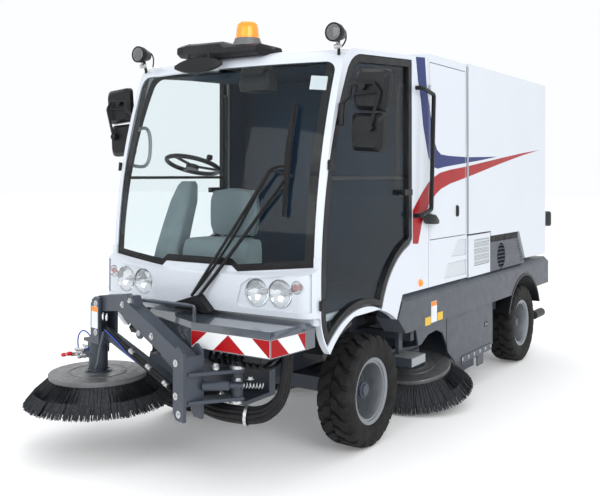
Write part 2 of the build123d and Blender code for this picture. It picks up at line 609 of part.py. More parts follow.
wheel_plane = Plane(origin=WHEEL_CENTRE, z_dir=wheel_axis)
ring_out = faceted([(-WHEEL_TUBE_R, WHEEL_R + 6), (-6, WHEEL_R + 15), (6, WHEEL_R + 15), (WHEEL_TUBE_R, WHEEL_R + 6)], 32)
ring_in = faceted([(-WHEEL_TUBE_R, WHEEL_R - 6), (-6, WHEEL_R - 15), (6, WHEEL_R - 15), (WHEEL_TUBE_R, WHEEL_R - 6)], 32)
steering = ring_out - ring_in
steering = steering.fuse(Pos(0, 0, -30) * extrude(Circle(46), amount=29))
for turn in (0, 120, 240):
    steering = steering.fuse(Rot(0, 0, turn) * Pos(110, 0, -7) * Box(170, 26, 12))
spinner = Rot(0, 0, 75) * Pos(WHEEL_R, 0, 0) * faceted([(0, 12), (20, 10), (24, 22), (52, 20)], 12)
save("steering_wheel", wheel_plane * steering.fuse(spinner))

# ---------------------------------------------------------------- roof, lamps, handles
BEACON = (450, 148)
BEACON_R = 80
housing_side = outline((300, 2560), (560, 2545), (600, 2580), (570, 2650), (440, 2690), (300, 2690))
housing_front = outline((-352, 2540), (-352, 2655), (-210, 2686), (205, 2672), (352, 2636), (352, 2540))
housing = across(housing_side, -400, 400) & along(housing_front, 250, 700)
housing = housing.fuse(Pos(*BEACON, 2640) * extrude(RegularPolygon(BEACON_R + 18, 24), amount=58))
housing = housing - cab_form(0, CAB_SILL_Z)
oval_edge = Plane(origin=(585, -151, 2526), x_dir=(0, 1, 0), z_dir=(1, 0, 0)) * RectangleRounded(422, 104, 48)
oval_mirror = extrude(oval_edge, amount=38)
mirror_stems = [block(570, 600, y - 14, y + 14, 2540, 2610) for y in (-260, -40)]
save("roof_housing", housing.fuse(oval_mirror, *mirror_stems) - cab_form(0, CAB_SILL_Z))
dome = faceted([(2698, BEACON_R), (2706, BEACON_R), (2790, BEACON_R - 12), (2812, BEACON_R - 40)], 32)
save("beacon", Pos(*BEACON, 0) * dome)

LAMP_Y = HALF_WIDTH - 33
lamps = []
for side in (1, -1):
    stem = rod((400, side * (LAMP_Y - 8), 2540), (420, side * LAMP_Y, 2640), 10)
    bowl = Plane(origin=(375, side * LAMP_Y, 2672), z_dir=(1, 0, 0)) * faceted([(0, 34), (70, 58), (104, 58)], 24)
    lamps.append(stem.fuse(bowl) - cab_form(0, CAB_SILL_Z))
save("work_lamps", *lamps)

HANDLE_Y = HALF_WIDTH + 54
handle = tube_path(
    [
        (-608, HALF_WIDTH, 2423), (-612, HANDLE_Y, 2420), (-790, HANDLE_Y + 4, 2385), (-742, HANDLE_Y + 4, 1540),
        (-578, HANDLE_Y, 1502), (-574, HALF_WIDTH, 1499),
    ],
    24, 16,
)
handle = handle & block(-900, -500, HALF_WIDTH, HALF_WIDTH + 200, 1400, 2500)
save("grab_handles", both_sides(handle))
step = block(-756, -525, HALF_WIDTH - 200, HALF_WIDTH, 420, 480)
step_hanger = block(-660, -600, SIDE_RAIL_Y0 + 2, SIDE_RAIL_Y0 + 30, 470, SIDE_RAIL_Z0)
save("side_steps", both_sides(step.fuse(step_hanger)))

# ---------------------------------------------------------------- wiper
WIPER_ROOTS = ((845, 9, 1030), (845, 67, 1030))
WIPER_TIPS = ((728, 535, 1822), (708, 633, 1762))
BLADE = [(728, 638, 1552), (678, 637, 1900), (598, 635, 2236)]
wiper_base = along(outline((-115, 940), (-115, 984), (70, 1042), (168, 947), (168, 940)), 780, 862) - fascia_full
wiper = wiper_base
for root, tip in zip(WIPER_ROOTS, WIPER_TIPS):
    wiper = wiper.fuse(rod(root, tip, 10, 8))
wiper = wiper.fuse(rod((732, 518, 1830), (690, 672, 1786), 9, 8), tube_path(BLADE, 40, 13))
save("wiper", wiper)

# ---------------------------------------------------------------- engine bay and engine
bay = block(BAY_REAR_X, BAY_FRONT_X, -HALF_WIDTH, HALF_WIDTH, BAY_Z0, BAY_Z1)
bay = bay - block(BAY_REAR_X + PANEL, BAY_FRONT_X - PANEL, -HALF_WIDTH + PANEL, HALF_WIDTH - PANEL, BAY_Z0 - 10, BAY_Z1 - PANEL)
BAY_DOOR = (BAY_REAR_X + 22, BAY_FRONT_X - 22, 1304, BAY_Z1 - 60)
GRILLES = (
    outline((-1234, 1150), (-1368, 1272), (BAY_REAR_X + 14, 1272), (BAY_REAR_X + 14, 1139)),
    outline((-1099, 991), (-1175, 1102), (BAY_REAR_X + 14, 1106), (BAY_REAR_X + 14, 984)),
)
GRILLE_DEPTH = 8
for side in (1, -1):
    bay = bay - block(BAY_DOOR[0], BAY_DOOR[1], side * (HALF_WIDTH - PANEL - 5), side * (HALF_WIDTH + 5), BAY_DOOR[2], BAY_DOOR[3])
    for grille in GRILLES:
        bay = bay - across(grille, *sorted((side * (HALF_WIDTH - GRILLE_DEPTH), side * (HALF_WIDTH + 5))))
save("engine_bay", bay)
bay_door = block(BAY_DOOR[0] + DOOR_GAP, BAY_DOOR[1] - DOOR_GAP, HALF_WIDTH - PANEL, HALF_WIDTH, BAY_DOOR[2] + DOOR_GAP, BAY_DOOR[3] - DOOR_GAP)
BAY_HINGE_X = BAY_FRONT_X - 10
bay_hinges = [hinge_knuckle((BAY_HINGE_X, HINGE_Y, z), (0, 0, 1), 70) for z in (1520, 2430)]
bay_door = bay_door.fuse(*bay_hinges)
save("engine_door_left", bay_door)
save("engine_door_right", mirrored(bay_door))
engine = block(-1440, -900, -RAIL_IN + 10, RAIL_IN - 10, RAIL_Z1 + 40, 1450)
for side in (1, -1):
    for x in (-1380, -960):
        engine = engine.fuse(block(x - 40, x + 40, side * (RAIL_IN - 16), side * (RAIL_OUT - 4), RAIL_Z1, RAIL_Z1 + 60))
save("engine_block", engine)

# ---------------------------------------------------------------- air intake and fan housing
FAN_Y0 = HALF_WIDTH - 308
FAN_Y1 = HALF_WIDTH - 6
FAN_Z0 = SIDE_RAIL_TOP + 2
INTAKE_X = (-2095, -1606)
INTAKE_TOP = 1290
LOUVRE_CENTRE = (-2369, 1065)
LOUVRE_SLATS = 7


def slatted(wall, opening, x0, x1, z0, z1, count):
    """Cuts an opening through a wall and spans it with slats that slope down and out."""
    cut = across(opening, FAN_Y1 - PANEL - 5, FAN_Y1 + 5)
    ring = across(offset(opening, amount=2), FAN_Y1 - PANEL, FAN_Y1)
    pitch = (z1 - z0) / count
    slats = []
    for i in range(count):
        low = z0 + (i + 0.25) * pitch
        board = outline((FAN_Y1 - 2, low), (FAN_Y1 - 2, low + 4), (FAN_Y1 - 30, low + 4 + pitch * 0.6), (FAN_Y1 - 30, low + pitch * 0.6))
        slats.append(along(board, x0 - 4, x1 + 4) & ring)
    return (wall - cut).fuse(*[s for slat in slats for s in solids_of(slat)])


intake = block(*INTAKE_X, FAN_Y0, FAN_Y1, FAN_Z0, INTAKE_TOP)
intake = intake - block(INTAKE_X[0] + PANEL, INTAKE_X[1] - PANEL, FAN_Y0 + PANEL, FAN_Y1 - PANEL, FAN_Z0 + PANEL, INTAKE_TOP - PANEL)
intake_opening = outline((-2071, 1030), (-1726, 1030), (-1726, 1250), (-2071, 1250))
intake = slatted(intake, intake_opening, -2071, -1726, 1030, 1250, 8)
save("intake_housing", both_sides(intake))

FAN_END = ((-2838, 1196), (-3004, FAN_Z0))   # slanted rear edge, along the hopper's
fan_face = outline((INTAKE_X[0] - 6, FAN_Z0), (INTAKE_X[0] - 6, 1204), FAN_END[0], FAN_END[1])
fan_hollow = outline(
    (INTAKE_X[0] - 46, FAN_Z0 + PANEL), (INTAKE_X[0] - 46, 1204 - PANEL), (FAN_END[0][0] + 30, 1196 - PANEL), (FAN_END[1][0] + 60, FAN_Z0 + PANEL),
)
fan = across(fan_face, FAN_Y0, FAN_Y1) - across(fan_hollow, FAN_Y0 + PANEL, FAN_Y1 - PANEL)
oval = Pos(*LOUVRE_CENTRE) * Ellipse(103, 116)
fan = slatted(fan, oval, -2472, -2266, 949, 1181, LOUVRE_SLATS)
slot_run = Vector(*FAN_END[1]) - Vector(*FAN_END[0])
for i in range(8):
    spot = Vector(*FAN_END[0]) + slot_run * ((i + 0.8) / 9) + Vector(62, 0)
    fan = fan - across(Pos(spot.X, spot.Y) * Rectangle(64, 9), FAN_Y1 - 6, FAN_Y1 + 5)
save("fan_housing", both_sides(fan))

# ---------------------------------------------------------------- hopper
hopper_face = outline(
    (HOPPER_FRONT_X, 1304), (-2103, 1304), (-2103, 1260), (-2840, 1258), (-3012, 992),
    (-3650, 984), (HOPPER_REAR_X, HOPPER_Z1), (HOPPER_FRONT_X, HOPPER_Z1 - 4),
)
hopper = across(hopper_face, -HALF_WIDTH, HALF_WIDTH)
hopper = hopper - across(offset(hopper_face, amount=-PANEL, kind=Kind.INTERSECTION), -HALF_WIDTH + PANEL, HALF_WIDTH - PANEL)
hopper = hopper - block(HOPPER_REAR_X - 20, HOPPER_REAR_X + 80, -HALF_WIDTH + 78, HALF_WIDTH - 78, 1060, 2640)
hopper_lugs = []
for side in (1, -1):
    y0, y1 = sorted((side * 640, side * 664))
    hopper_lugs.append(across(Pos(*HOPPER_PIVOT) * Circle(26), y0, y1))
    hopper_lugs.append(block(HOPPER_PIVOT[0] - 4, HOPPER_PIVOT[0] + 40, y0, y1, HOPPER_PIVOT[1], 1000))
    hopper_lugs.append(across(Pos(*HOPPER_PIVOT) * Circle(14), *sorted((side * 664, side * 700))))
    y0, y1 = sorted((side * (LIFT_Y + 36), side * (LIFT_Y + 56)))
    hopper_lugs.append(across(Pos(*LIFT_EYE) * Circle(30), y0, y1))
    hopper_lugs.append(block(LIFT_EYE[0] - 30, LIFT_EYE[0] + 30, y0, y1, LIFT_EYE[1], 1010))
    hopper_lugs.append(across(Pos(*LIFT_EYE) * Circle(LIFT_PIN_R), *sorted((side * (LIFT_Y + 36), side * (LIFT_Y - 30)))))
hopper = hopper.fuse(*hopper_lugs)
save("hopper_shell", hopper)
DOOR_TOP = 2672
DOOR_HINGE = (HOPPER_REAR_X - 14, 2690)
rear_door = block(HOPPER_REAR_X - PANEL - 1, HOPPER_REAR_X - 6, -HALF_WIDTH + 48, HALF_WIDTH - 48, 1030, DOOR_TOP)
for y in (-600, -200, 200, 600):
    knuckle = across(Pos(*DOOR_HINGE) * Circle(9), y - 50, y + 50)
    leaf = block(DOOR_HINGE[0] - 9, DOOR_HINGE[0], y - 46, y + 46, DOOR_TOP - 20, DOOR_HINGE[1])
    rear_door = rear_door.fuse(knuckle, leaf)
save("hopper_door", rear_door)

# ---------------------------------------------------------------- lift cylinders
lift_run = Vector(LIFT_EYE[0] - LIFT_BASE[0], 0, LIFT_EYE[1] - LIFT_BASE[1])
lift_dir = lift_run.normalized()
EYE_R = LIFT_PIN_R + LIFT_DRIFT
barrels = []
rods = []
for side in (1, -1):
    base = Vector(LIFT_BASE[0], side * LIFT_Y, LIFT_BASE[1])
    eye = Vector(LIFT_EYE[0], side * LIFT_Y, LIFT_EYE[1])
    barrel_end = base + lift_dir * (lift_run.length - 170)
    barrel = rod(tuple(base + lift_dir * 30), tuple(barrel_end), 42)
    ring = across(Pos(*LIFT_BASE) * (Circle(38) - Circle(LIFT_PIN_R + 0.05)), side * LIFT_Y - 26, side * LIFT_Y + 26)
    bore = rod(tuple(base + lift_dir * 70), tuple(barrel_end + lift_dir * 5), 24.05)
    barrels.append(barrel.fuse(ring) - bore - across(Pos(*LIFT_BASE) * Circle(LIFT_PIN_R + 0.05), side * LIFT_Y - 40, side * LIFT_Y + 40))
    shaft = rod(tuple(base + lift_dir * 90), tuple(eye - lift_dir * (EYE_R + 2)), 24)
    eye_ring = across(Pos(*LIFT_EYE) * (Circle(EYE_R + 5) - Circle(EYE_R)), side * LIFT_Y - 26, side * LIFT_Y + 26)
    rods.append(shaft.fuse(eye_ring) - across(Pos(*LIFT_EYE) * Circle(EYE_R), side * LIFT_Y - 40, side * LIFT_Y + 40))
save("lift_barrels", *barrels)
save("lift_rods", *rods)


# ---------------------------------------------------------------- brushes
def brush_axis(tilt):
    lean = math.radians(tilt)
    return Vector(math.sin(lean), 0, math.cos(lean))


def disc_brush(centre, axis, disc_r, tip_r, height, band=37, sides=48):
    """A disc with a skirt of bristles that flares down to the tips."""
    skirt = faceted([(-height, tip_r), (-band, disc_r + 4), (0, disc_r)], sides)
    hollow = faceted([(-height - 1, tip_r - 90), (-band - 10, disc_r - 60), (-band - 9, disc_r - 70)], sides)
    hub = Pos(0, 0, -1) * extrude(Circle(60), amount=21)
    return Plane(origin=centre, z_dir=axis) * (skirt - hollow).fuse(hub)


side_axis = brush_axis(BRUSH_TILT)
side_brush = disc_brush(SIDE_DISC, side_axis, SIDE_DISC_R, SIDE_TIP_R, SIDE_BRUSH_H)
side_motor = Plane(origin=Vector(*SIDE_DISC), z_dir=side_axis) * faceted([(21, 52), (150, 52)], 20)
arm_face = outline((SIDE_ARM_PIVOT[0] + 40, SIDE_ARM_PIVOT[1] - 40), (SIDE_ARM_PIVOT[0] + 40, SIDE_ARM_PIVOT[1] + 40), (-1060, 670), (-1110, 570))
side_arm = upright(arm_face, 440, 464)
side_post = Pos(SIDE_ARM_PIVOT[0], SIDE_ARM_PIVOT[1], 430) * extrude(Circle(36), amount=49)
side_arm = side_arm.fuse(side_motor, side_post)
save("side_arm_left", side_arm)
save("side_arm_right", mirrored(side_arm))
save("side_brush_left", side_brush)
save("side_brush_right", mirrored(side_brush))

broom_core = across(Pos(BROOM_X, BROOM_Z) * Circle(BROOM_R), -BROOM_HALF, BROOM_HALF)
save("main_broom", broom_core)
hood_face = make_face(
    Polyline((BROOM_X - 262, 120), (BROOM_X - 262, 250))
    + ThreePointArc((BROOM_X - 262, 250), (BROOM_X, 479), (BROOM_X + 262, 250))
    + Polyline((BROOM_X + 262, 250), (BROOM_X + 262, 120), (BROOM_X + 250, 120), (BROOM_X + 250, 250))
    + ThreePointArc((BROOM_X + 250, 250), (BROOM_X, 472), (BROOM_X - 250, 250))
    + Polyline((BROOM_X - 250, 250), (BROOM_X - 250, 120), (BROOM_X - 262, 120))
)
hood = across(hood_face, -BROOM_HALF - 20, BROOM_HALF + 20)
cheek_face = make_face(
    Polyline((BROOM_X - 262, 60), (BROOM_X - 262, 250))
    + ThreePointArc((BROOM_X - 262, 250), (BROOM_X, 479), (BROOM_X + 262, 250))
    + Polyline((BROOM_X + 262, 250), (BROOM_X + 262, 60), (BROOM_X - 262, 60))
)
for side in (1, -1):
    hood = hood.fuse(across(cheek_face, *sorted((side * (BROOM_HALF + 8), side * (BROOM_HALF + 20)))))
    hood = hood.fuse(block(BROOM_X - 40, BROOM_X + 40, side * (RAIL_IN + 10), side * (RAIL_OUT - 10), 474, RAIL_Z0))
save("broom_housing", hood)

# ---------------------------------------------------------------- front arm
arm_heading = math.radians(ARM_HEADING)
arm_dir = Vector(math.cos(arm_heading), math.sin(arm_heading), 0)
arm_normal = Vector(arm_dir.Y, -arm_dir.X, 0)
arm_root = Vector(ARM_POST[0], ARM_POST[1], 0)
PIN_GAP = 0.05
BEAM_BOSS_R = 52             # round lower end of the beam
HEAD_LOW_Z = ARM_LOW_Z + ARM_RISE
HEAD_HIGH_Z = ARM_HIGH_Z + ARM_RISE
FRONT_DISC = arm_root + arm_dir * (ARM_REACH + HEAD_TO_DISC) + Vector(0, 0, FRONT_DISC_Z)


def arm_slab(face, s0, s1):
    """A face drawn in the arm's upright plane (reach, z), made solid across it."""
    return extrude(Plane(origin=arm_root + arm_normal * s0, x_dir=arm_dir, z_dir=arm_normal) * face, amount=s1 - s0)


def arm_rod(start, end, radius, sides=20):
    """Round bar in the arm's middle plane between two (reach, z) points."""
    points = [arm_root + arm_dir * reach + Vector(0, 0, z) for reach, z in (start, end)]
    run = points[1] - points[0]
    return Plane(origin=points[0], z_dir=run) * extrude(RegularPolygon(radius, sides), amount=run.length)


def link_face(x0, z0, x1, z1, half):
    """Bar with round ends between two pins."""
    run = Vector(x1 - x0, z1 - z0).normalized()
    off = Vector(-run.Y, run.X) * half
    bar = outline((x0 + off.X, z0 + off.Y), (x1 + off.X, z1 + off.Y), (x1 - off.X, z1 - off.Y), (x0 - off.X, z0 - off.Y))
    return bar + Pos(x0, z0) * Circle(half) + Pos(x1, z1) * Circle(half)


post_face = outline((-74, 415), (0, 415), (30, 450), (30, ARM_HIGH_Z + 60), (-20, ARM_HIGH_Z + 98), (-74, ARM_HIGH_Z + 60))
post = arm_slab(post_face, -ARM_CHEEK[1], -ARM_CHEEK[0]).fuse(arm_slab(post_face, *ARM_CHEEK))
post = post.fuse(arm_slab(outline((-74, 500), (-60, 500), (-60, ARM_HIGH_Z + 40), (-74, ARM_HIGH_Z + 40)), -ARM_CHEEK[1], ARM_CHEEK[1]))
for pin in ((0, ARM_LOW_Z), (0, ARM_HIGH_Z), ARM_CYLINDER_FOOT):
    post = post.fuse(arm_slab(Pos(*pin) * Circle(ARM_PIN_R), -ARM_CHEEK[1] + 4, ARM_CHEEK[1] - 4))
swing_plan = outline(
    (ARM_SWING[0] - 50, ARM_SWING[1]), (ARM_SWING[0], ARM_SWING[1] + 50), (ARM_SWING[0] + 60, ARM_SWING[1] + 10),
    (ARM_POST[0] + 60, ARM_POST[1] + 70), (ARM_POST[0] - 60, ARM_POST[1] + 20), (ARM_SWING[0] - 30, ARM_SWING[1] - 50),
)
bracket = upright(swing_plan, 510, 528).fuse(upright(swing_plan, 668, 686))
bracket = bracket - arm_slab(Pos(0, ARM_HIGH_Z) * Circle(BEAM_BOSS_R + 6), -ARM_CHEEK[0], ARM_CHEEK[0])
KINGPOST_Z = (ARM_BASE_Z[0] + ARM_BASE_T + 1, ARM_BASE_Z[1] - 1)
kingpost = Pos(ARM_SWING[0], ARM_SWING[1], KINGPOST_Z[0]) * extrude(Circle(34), amount=KINGPOST_Z[1] - KINGPOST_Z[0])
save("arm_bracket", bracket.fuse(kingpost, post))

beam_lower = link_face(0, ARM_HIGH_Z, *ARM_ELBOW, BEAM_BOSS_R)
beam_upper = link_face(*ARM_ELBOW, ARM_REACH, HEAD_HIGH_Z, 50)
arm_beam = arm_slab(beam_lower, -ARM_HALF, ARM_HALF).fuse(arm_slab(beam_upper, -ARM_HALF, ARM_HALF))
gusset = outline((512, 930), (524, 1020), (548, 1046), (590, 1046), (640, 960))
arm_beam = arm_beam.fuse(arm_slab(gusset, -30, 30))
CHANNEL_HALF = 30
CHANNEL_WIDE = 32
arm_beam = arm_beam - arm_slab(link_face(*ARM_CYLINDER_FOOT, *ARM_CYLINDER_EYE, CHANNEL_HALF + 2), -CHANNEL_WIDE, CHANNEL_WIDE)
for low, high in ((-ARM_HALF, -CHANNEL_WIDE), (CHANNEL_WIDE, ARM_HALF)):
    arm_beam = arm_beam.fuse(arm_slab(Pos(*ARM_CYLINDER_EYE) * Circle(36), low, high))
arm_beam = arm_beam.fuse(arm_slab(Pos(*ARM_CYLINDER_EYE) * Circle(ARM_PIN_R), -ARM_HALF, ARM_HALF))
for pin in ((0, ARM_HIGH_Z), (ARM_REACH, HEAD_HIGH_Z)):
    arm_beam = arm_beam - arm_slab(Pos(*pin) * Circle(ARM_PIN_R + PIN_GAP), -60, 60)
save("arm_beam", arm_beam)

arm_link = arm_slab(link_face(0, ARM_LOW_Z, ARM_REACH, HEAD_LOW_Z, 24), -30, 30)
for pin in ((0, ARM_LOW_Z), (ARM_REACH, HEAD_LOW_Z)):
    arm_link = arm_link - arm_slab(Pos(*pin) * Circle(ARM_PIN_R + PIN_GAP), -60, 60)
save("arm_link", arm_link)

cylinder_run = Vector(ARM_CYLINDER_EYE[0] - ARM_CYLINDER_FOOT[0], ARM_CYLINDER_EYE[1] - ARM_CYLINDER_FOOT[1])
cylinder_dir = cylinder_run.normalized()


def on_cylinder(distance):
    """Point on the arm cylinder's axis, as (reach, z), from its foot pin."""
    spot = Vector(*ARM_CYLINDER_FOOT) + cylinder_dir * distance
    return (spot.X, spot.Y)


BARREL_R = 24
ROD_R = 14
barrel = arm_rod(on_cylinder(20), on_cylinder(250), BARREL_R)
barrel = barrel.fuse(arm_slab(Pos(*ARM_CYLINDER_FOOT) * Circle(26), -24, 24))
barrel = barrel - arm_rod(on_cylinder(44), on_cylinder(260), ROD_R + 0.4)
barrel = barrel - arm_slab(Pos(*ARM_CYLINDER_FOOT) * Circle(ARM_PIN_R + PIN_GAP), -30, 30)
save("arm_cylinder", barrel)
EYE_FIT = 2
piston = arm_rod(on_cylinder(90), on_cylinder(cylinder_run.length - 20), ROD_R)
piston = piston.fuse(arm_slab(Pos(*ARM_CYLINDER_EYE) * Circle(26), -24, 24))
piston = piston - arm_slab(Pos(*ARM_CYLINDER_EYE) * Circle(ARM_PIN_R + EYE_FIT), -30, 30)
save("arm_cylinder_rod", piston)

head_face = outline(
    (ARM_REACH - 34, HEAD_LOW_Z - 40), (ARM_REACH + 60, HEAD_LOW_Z - 60), (ARM_REACH + 74, HEAD_LOW_Z + 60),
    (ARM_REACH + 60, HEAD_HIGH_Z + 20), (ARM_REACH + 20, HEAD_HIGH_Z + 44), (ARM_REACH - 34, HEAD_HIGH_Z + 40),
)
head = arm_slab(head_face, -ARM_CHEEK[1], -ARM_CHEEK[0]).fuse(arm_slab(head_face, *ARM_CHEEK))
head_back = outline(
    (ARM_REACH + 58, HEAD_LOW_Z - 60), (ARM_REACH + 74, HEAD_LOW_Z - 60), (ARM_REACH + 74, HEAD_HIGH_Z), (ARM_REACH + 58, HEAD_HIGH_Z),
)
head = head.fuse(arm_slab(head_back, -ARM_CHEEK[1], ARM_CHEEK[1]))
for z in (HEAD_LOW_Z, HEAD_HIGH_Z):
    head = head.fuse(arm_slab(Pos(ARM_REACH, z) * Circle(ARM_PIN_R), -ARM_CHEEK[1] + 4, ARM_CHEEK[1] - 4))
carrier = outline(
    (ARM_REACH - 34, HEAD_LOW_Z - 76), (ARM_REACH + HEAD_TO_DISC + 70, HEAD_LOW_Z - 76),
    (ARM_REACH + HEAD_TO_DISC + 70, HEAD_LOW_Z - 58), (ARM_REACH + 74, HEAD_LOW_Z - 40), (ARM_REACH - 34, HEAD_LOW_Z - 40),
)
head = head.fuse(arm_slab(carrier, -ARM_CHEEK[1], ARM_CHEEK[1]))
MOTOR_GAP = 1
HUB_T = 20
front_motor = Plane(origin=FRONT_DISC) * faceted([(HUB_T + MOTOR_GAP, 62), (HEAD_LOW_Z - 70 - FRONT_DISC_Z, 62)], 20)
save("arm_head", head.fuse(front_motor))
save("front_brush", disc_brush(FRONT_DISC, (0, 0, 1), FRONT_DISC_R, FRONT_TIP_R, FRONT_BRUSH_H))

# ---------------------------------------------------------------- arm's rest on the bumper
# Stay with a padded end that stands just clear of the beam's gusset when the arm is folded in.
REST_SIDE = 52               # clear of the gusset's cheek
REST_Z = 1014
rest_end = arm_root + arm_dir * 560 + arm_normal * REST_SIDE + Vector(0, 0, REST_Z)
rest_foot = Vector(886, 70, BUMPER_Z1 + LID_RISE - 2)
rest_knee = Vector(886, 70, 975)
rest = tube_path([tuple(rest_foot), tuple(rest_knee), tuple(rest_end)], 20, 12)
save("front_bumper", bumper.fuse(rest))
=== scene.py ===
# %% [markdown]
# # A street sweeper truck, dressed in Blender
# The shapes of the truck come from a CAD model and are already in place. This lesson gives them their
# paint, rubber and glass, and adds what a CAD model leaves out: bristles, hoses, bolts, stripes and tread.
# The first step loads the model as a frame, and nothing below moves its pieces.

# %% Load the frame
import math
import json
import random
import bpy
import bmesh
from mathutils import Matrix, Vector


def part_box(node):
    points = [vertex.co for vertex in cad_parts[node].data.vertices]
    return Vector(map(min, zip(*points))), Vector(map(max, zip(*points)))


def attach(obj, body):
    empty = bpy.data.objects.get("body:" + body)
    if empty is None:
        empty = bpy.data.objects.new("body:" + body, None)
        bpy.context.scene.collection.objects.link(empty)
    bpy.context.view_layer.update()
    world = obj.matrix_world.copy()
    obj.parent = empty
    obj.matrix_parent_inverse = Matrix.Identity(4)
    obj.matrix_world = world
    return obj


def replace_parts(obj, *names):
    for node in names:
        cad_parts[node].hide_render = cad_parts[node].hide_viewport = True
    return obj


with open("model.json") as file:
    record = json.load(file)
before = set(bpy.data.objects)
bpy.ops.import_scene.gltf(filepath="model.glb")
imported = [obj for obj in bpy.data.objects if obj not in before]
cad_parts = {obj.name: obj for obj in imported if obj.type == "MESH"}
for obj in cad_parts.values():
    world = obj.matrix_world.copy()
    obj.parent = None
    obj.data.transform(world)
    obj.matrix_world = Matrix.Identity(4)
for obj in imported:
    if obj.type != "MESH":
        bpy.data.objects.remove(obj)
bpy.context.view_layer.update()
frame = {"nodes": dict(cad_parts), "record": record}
nodes = frame["nodes"]


def placed(name, data):
    """An object made from its data and put in the scene."""
    made = bpy.data.objects.new(name, data)
    bpy.context.collection.objects.link(made)
    return made


print("nodes loaded:", len(nodes))

# %% [markdown]
# ## The camera
# A large machine reads best from its front corner through a normal lens. Vertical edges stay upright in
# the picture when the camera is held level, and a small lens shift moves the machine up or down in the
# frame. The place below is at eye height, 5.8 metres from the middle of the cab.

# %% Camera
EYE = Vector((4.7188, 3.4325, 1.7936))
HEADING = math.radians(-146.14)
PITCH = math.radians(0.73)
LENS = 48.61
SHIFT_UP = -0.1392

look = Vector((math.cos(HEADING) * math.cos(PITCH), math.sin(HEADING) * math.cos(PITCH), math.sin(PITCH)))
camera_data = bpy.data.cameras.new("camera")
camera_data.lens = LENS
camera_data.sensor_width = 36.0
camera_data.shift_y = SHIFT_UP
camera = placed("camera", camera_data)
camera.location = EYE
camera.rotation_euler = look.to_track_quat("-Z", "Y").to_euler()
bpy.context.scene.camera = camera
print("camera looks along", tuple(round(v, 3) for v in look))

# %% [markdown]
# ## Floor and light
# The truck stands on a plain pale floor that runs out to a pale sky, so that nothing but the truck has a
# colour. Four big soft lamps shape it: a wide one from the front left, a weak one in front, one behind, and
# one overhead that draws the roof's edge. Big lamps give the soft, long reflections that car paint needs.

# %% Floor, sky and lamps
FLOOR_HALF = 60.0
FLOOR_LOOK = {
    "Base Color": (0.94, 0.94, 0.94, 1), "Roughness": 0.9,
    "Emission Color": (1, 1, 1, 1), "Emission Strength": 0.12,
}
floor_mesh = bpy.data.meshes.new("floor")
floor_corners = [(x * FLOOR_HALF, y * FLOOR_HALF, 0) for x, y in ((-1, -1), (1, -1), (1, 1), (-1, 1))]
floor_mesh.from_pydata(floor_corners, [], [(0, 1, 2, 3)])
floor = placed("floor", floor_mesh)
floor_finish = bpy.data.materials.new("floor_finish")
floor_finish.use_nodes = True
for socket, value in FLOOR_LOOK.items():
    floor_finish.node_tree.nodes["Principled BSDF"].inputs[socket].default_value = value
floor.data.materials.append(floor_finish)

sky = bpy.data.worlds.new("sky")
sky.use_nodes = True
sky.node_tree.nodes["Background"].inputs["Color"].default_value = (0.98, 0.99, 1.0, 1)
sky.node_tree.nodes["Background"].inputs["Strength"].default_value = 1.0
bpy.context.scene.world = sky
bpy.context.scene.view_settings.view_transform = "Standard"    # plain white stays white
bpy.context.scene.view_settings.look = "None"

LAMPS = {
    # name: (place, point it faces, width, height, watts)
    "key_lamp": ((4.5, 7.5, 6.5), (-0.8, 0.3, 1.2), 6.0, 4.0, 260),
    "front_lamp": ((8.0, -1.5, 4.0), (0.5, 0.0, 1.2), 4.0, 4.0, 90),
    "back_lamp": ((-8.0, -6.0, 7.0), (-1.5, 0.0, 1.5), 6.0, 4.0, 120),
    "top_lamp": ((-1.0, 0.0, 9.0), (-1.0, 0.0, 0.0), 8.0, 5.0, 120),
}
for lamp_name, (place, target, width, height, watts) in LAMPS.items():
    lamp_data = bpy.data.lights.new(lamp_name, "AREA")
    lamp_data.shape = "RECTANGLE"
    lamp_data.size = width
    lamp_data.size_y = height
    lamp_data.energy = watts
    lamp = placed(lamp_name, lamp_data)
    lamp.location = place
    lamp.rotation_euler = (Vector(target) - Vector(place)).to_track_quat("-Z", "Y").to_euler()
print("lamps:", ", ".join(LAMPS))

# %% [markdown]
# ## How a finish is made
# Every surface has one shader, the Principled BSDF, whose colour, roughness and bump come from small
# noise patterns. The patterns are placed in metres in the truck's own space, so grain and dust keep their
# real size on every panel. `Finish` keeps the few lines that each material would otherwise repeat.

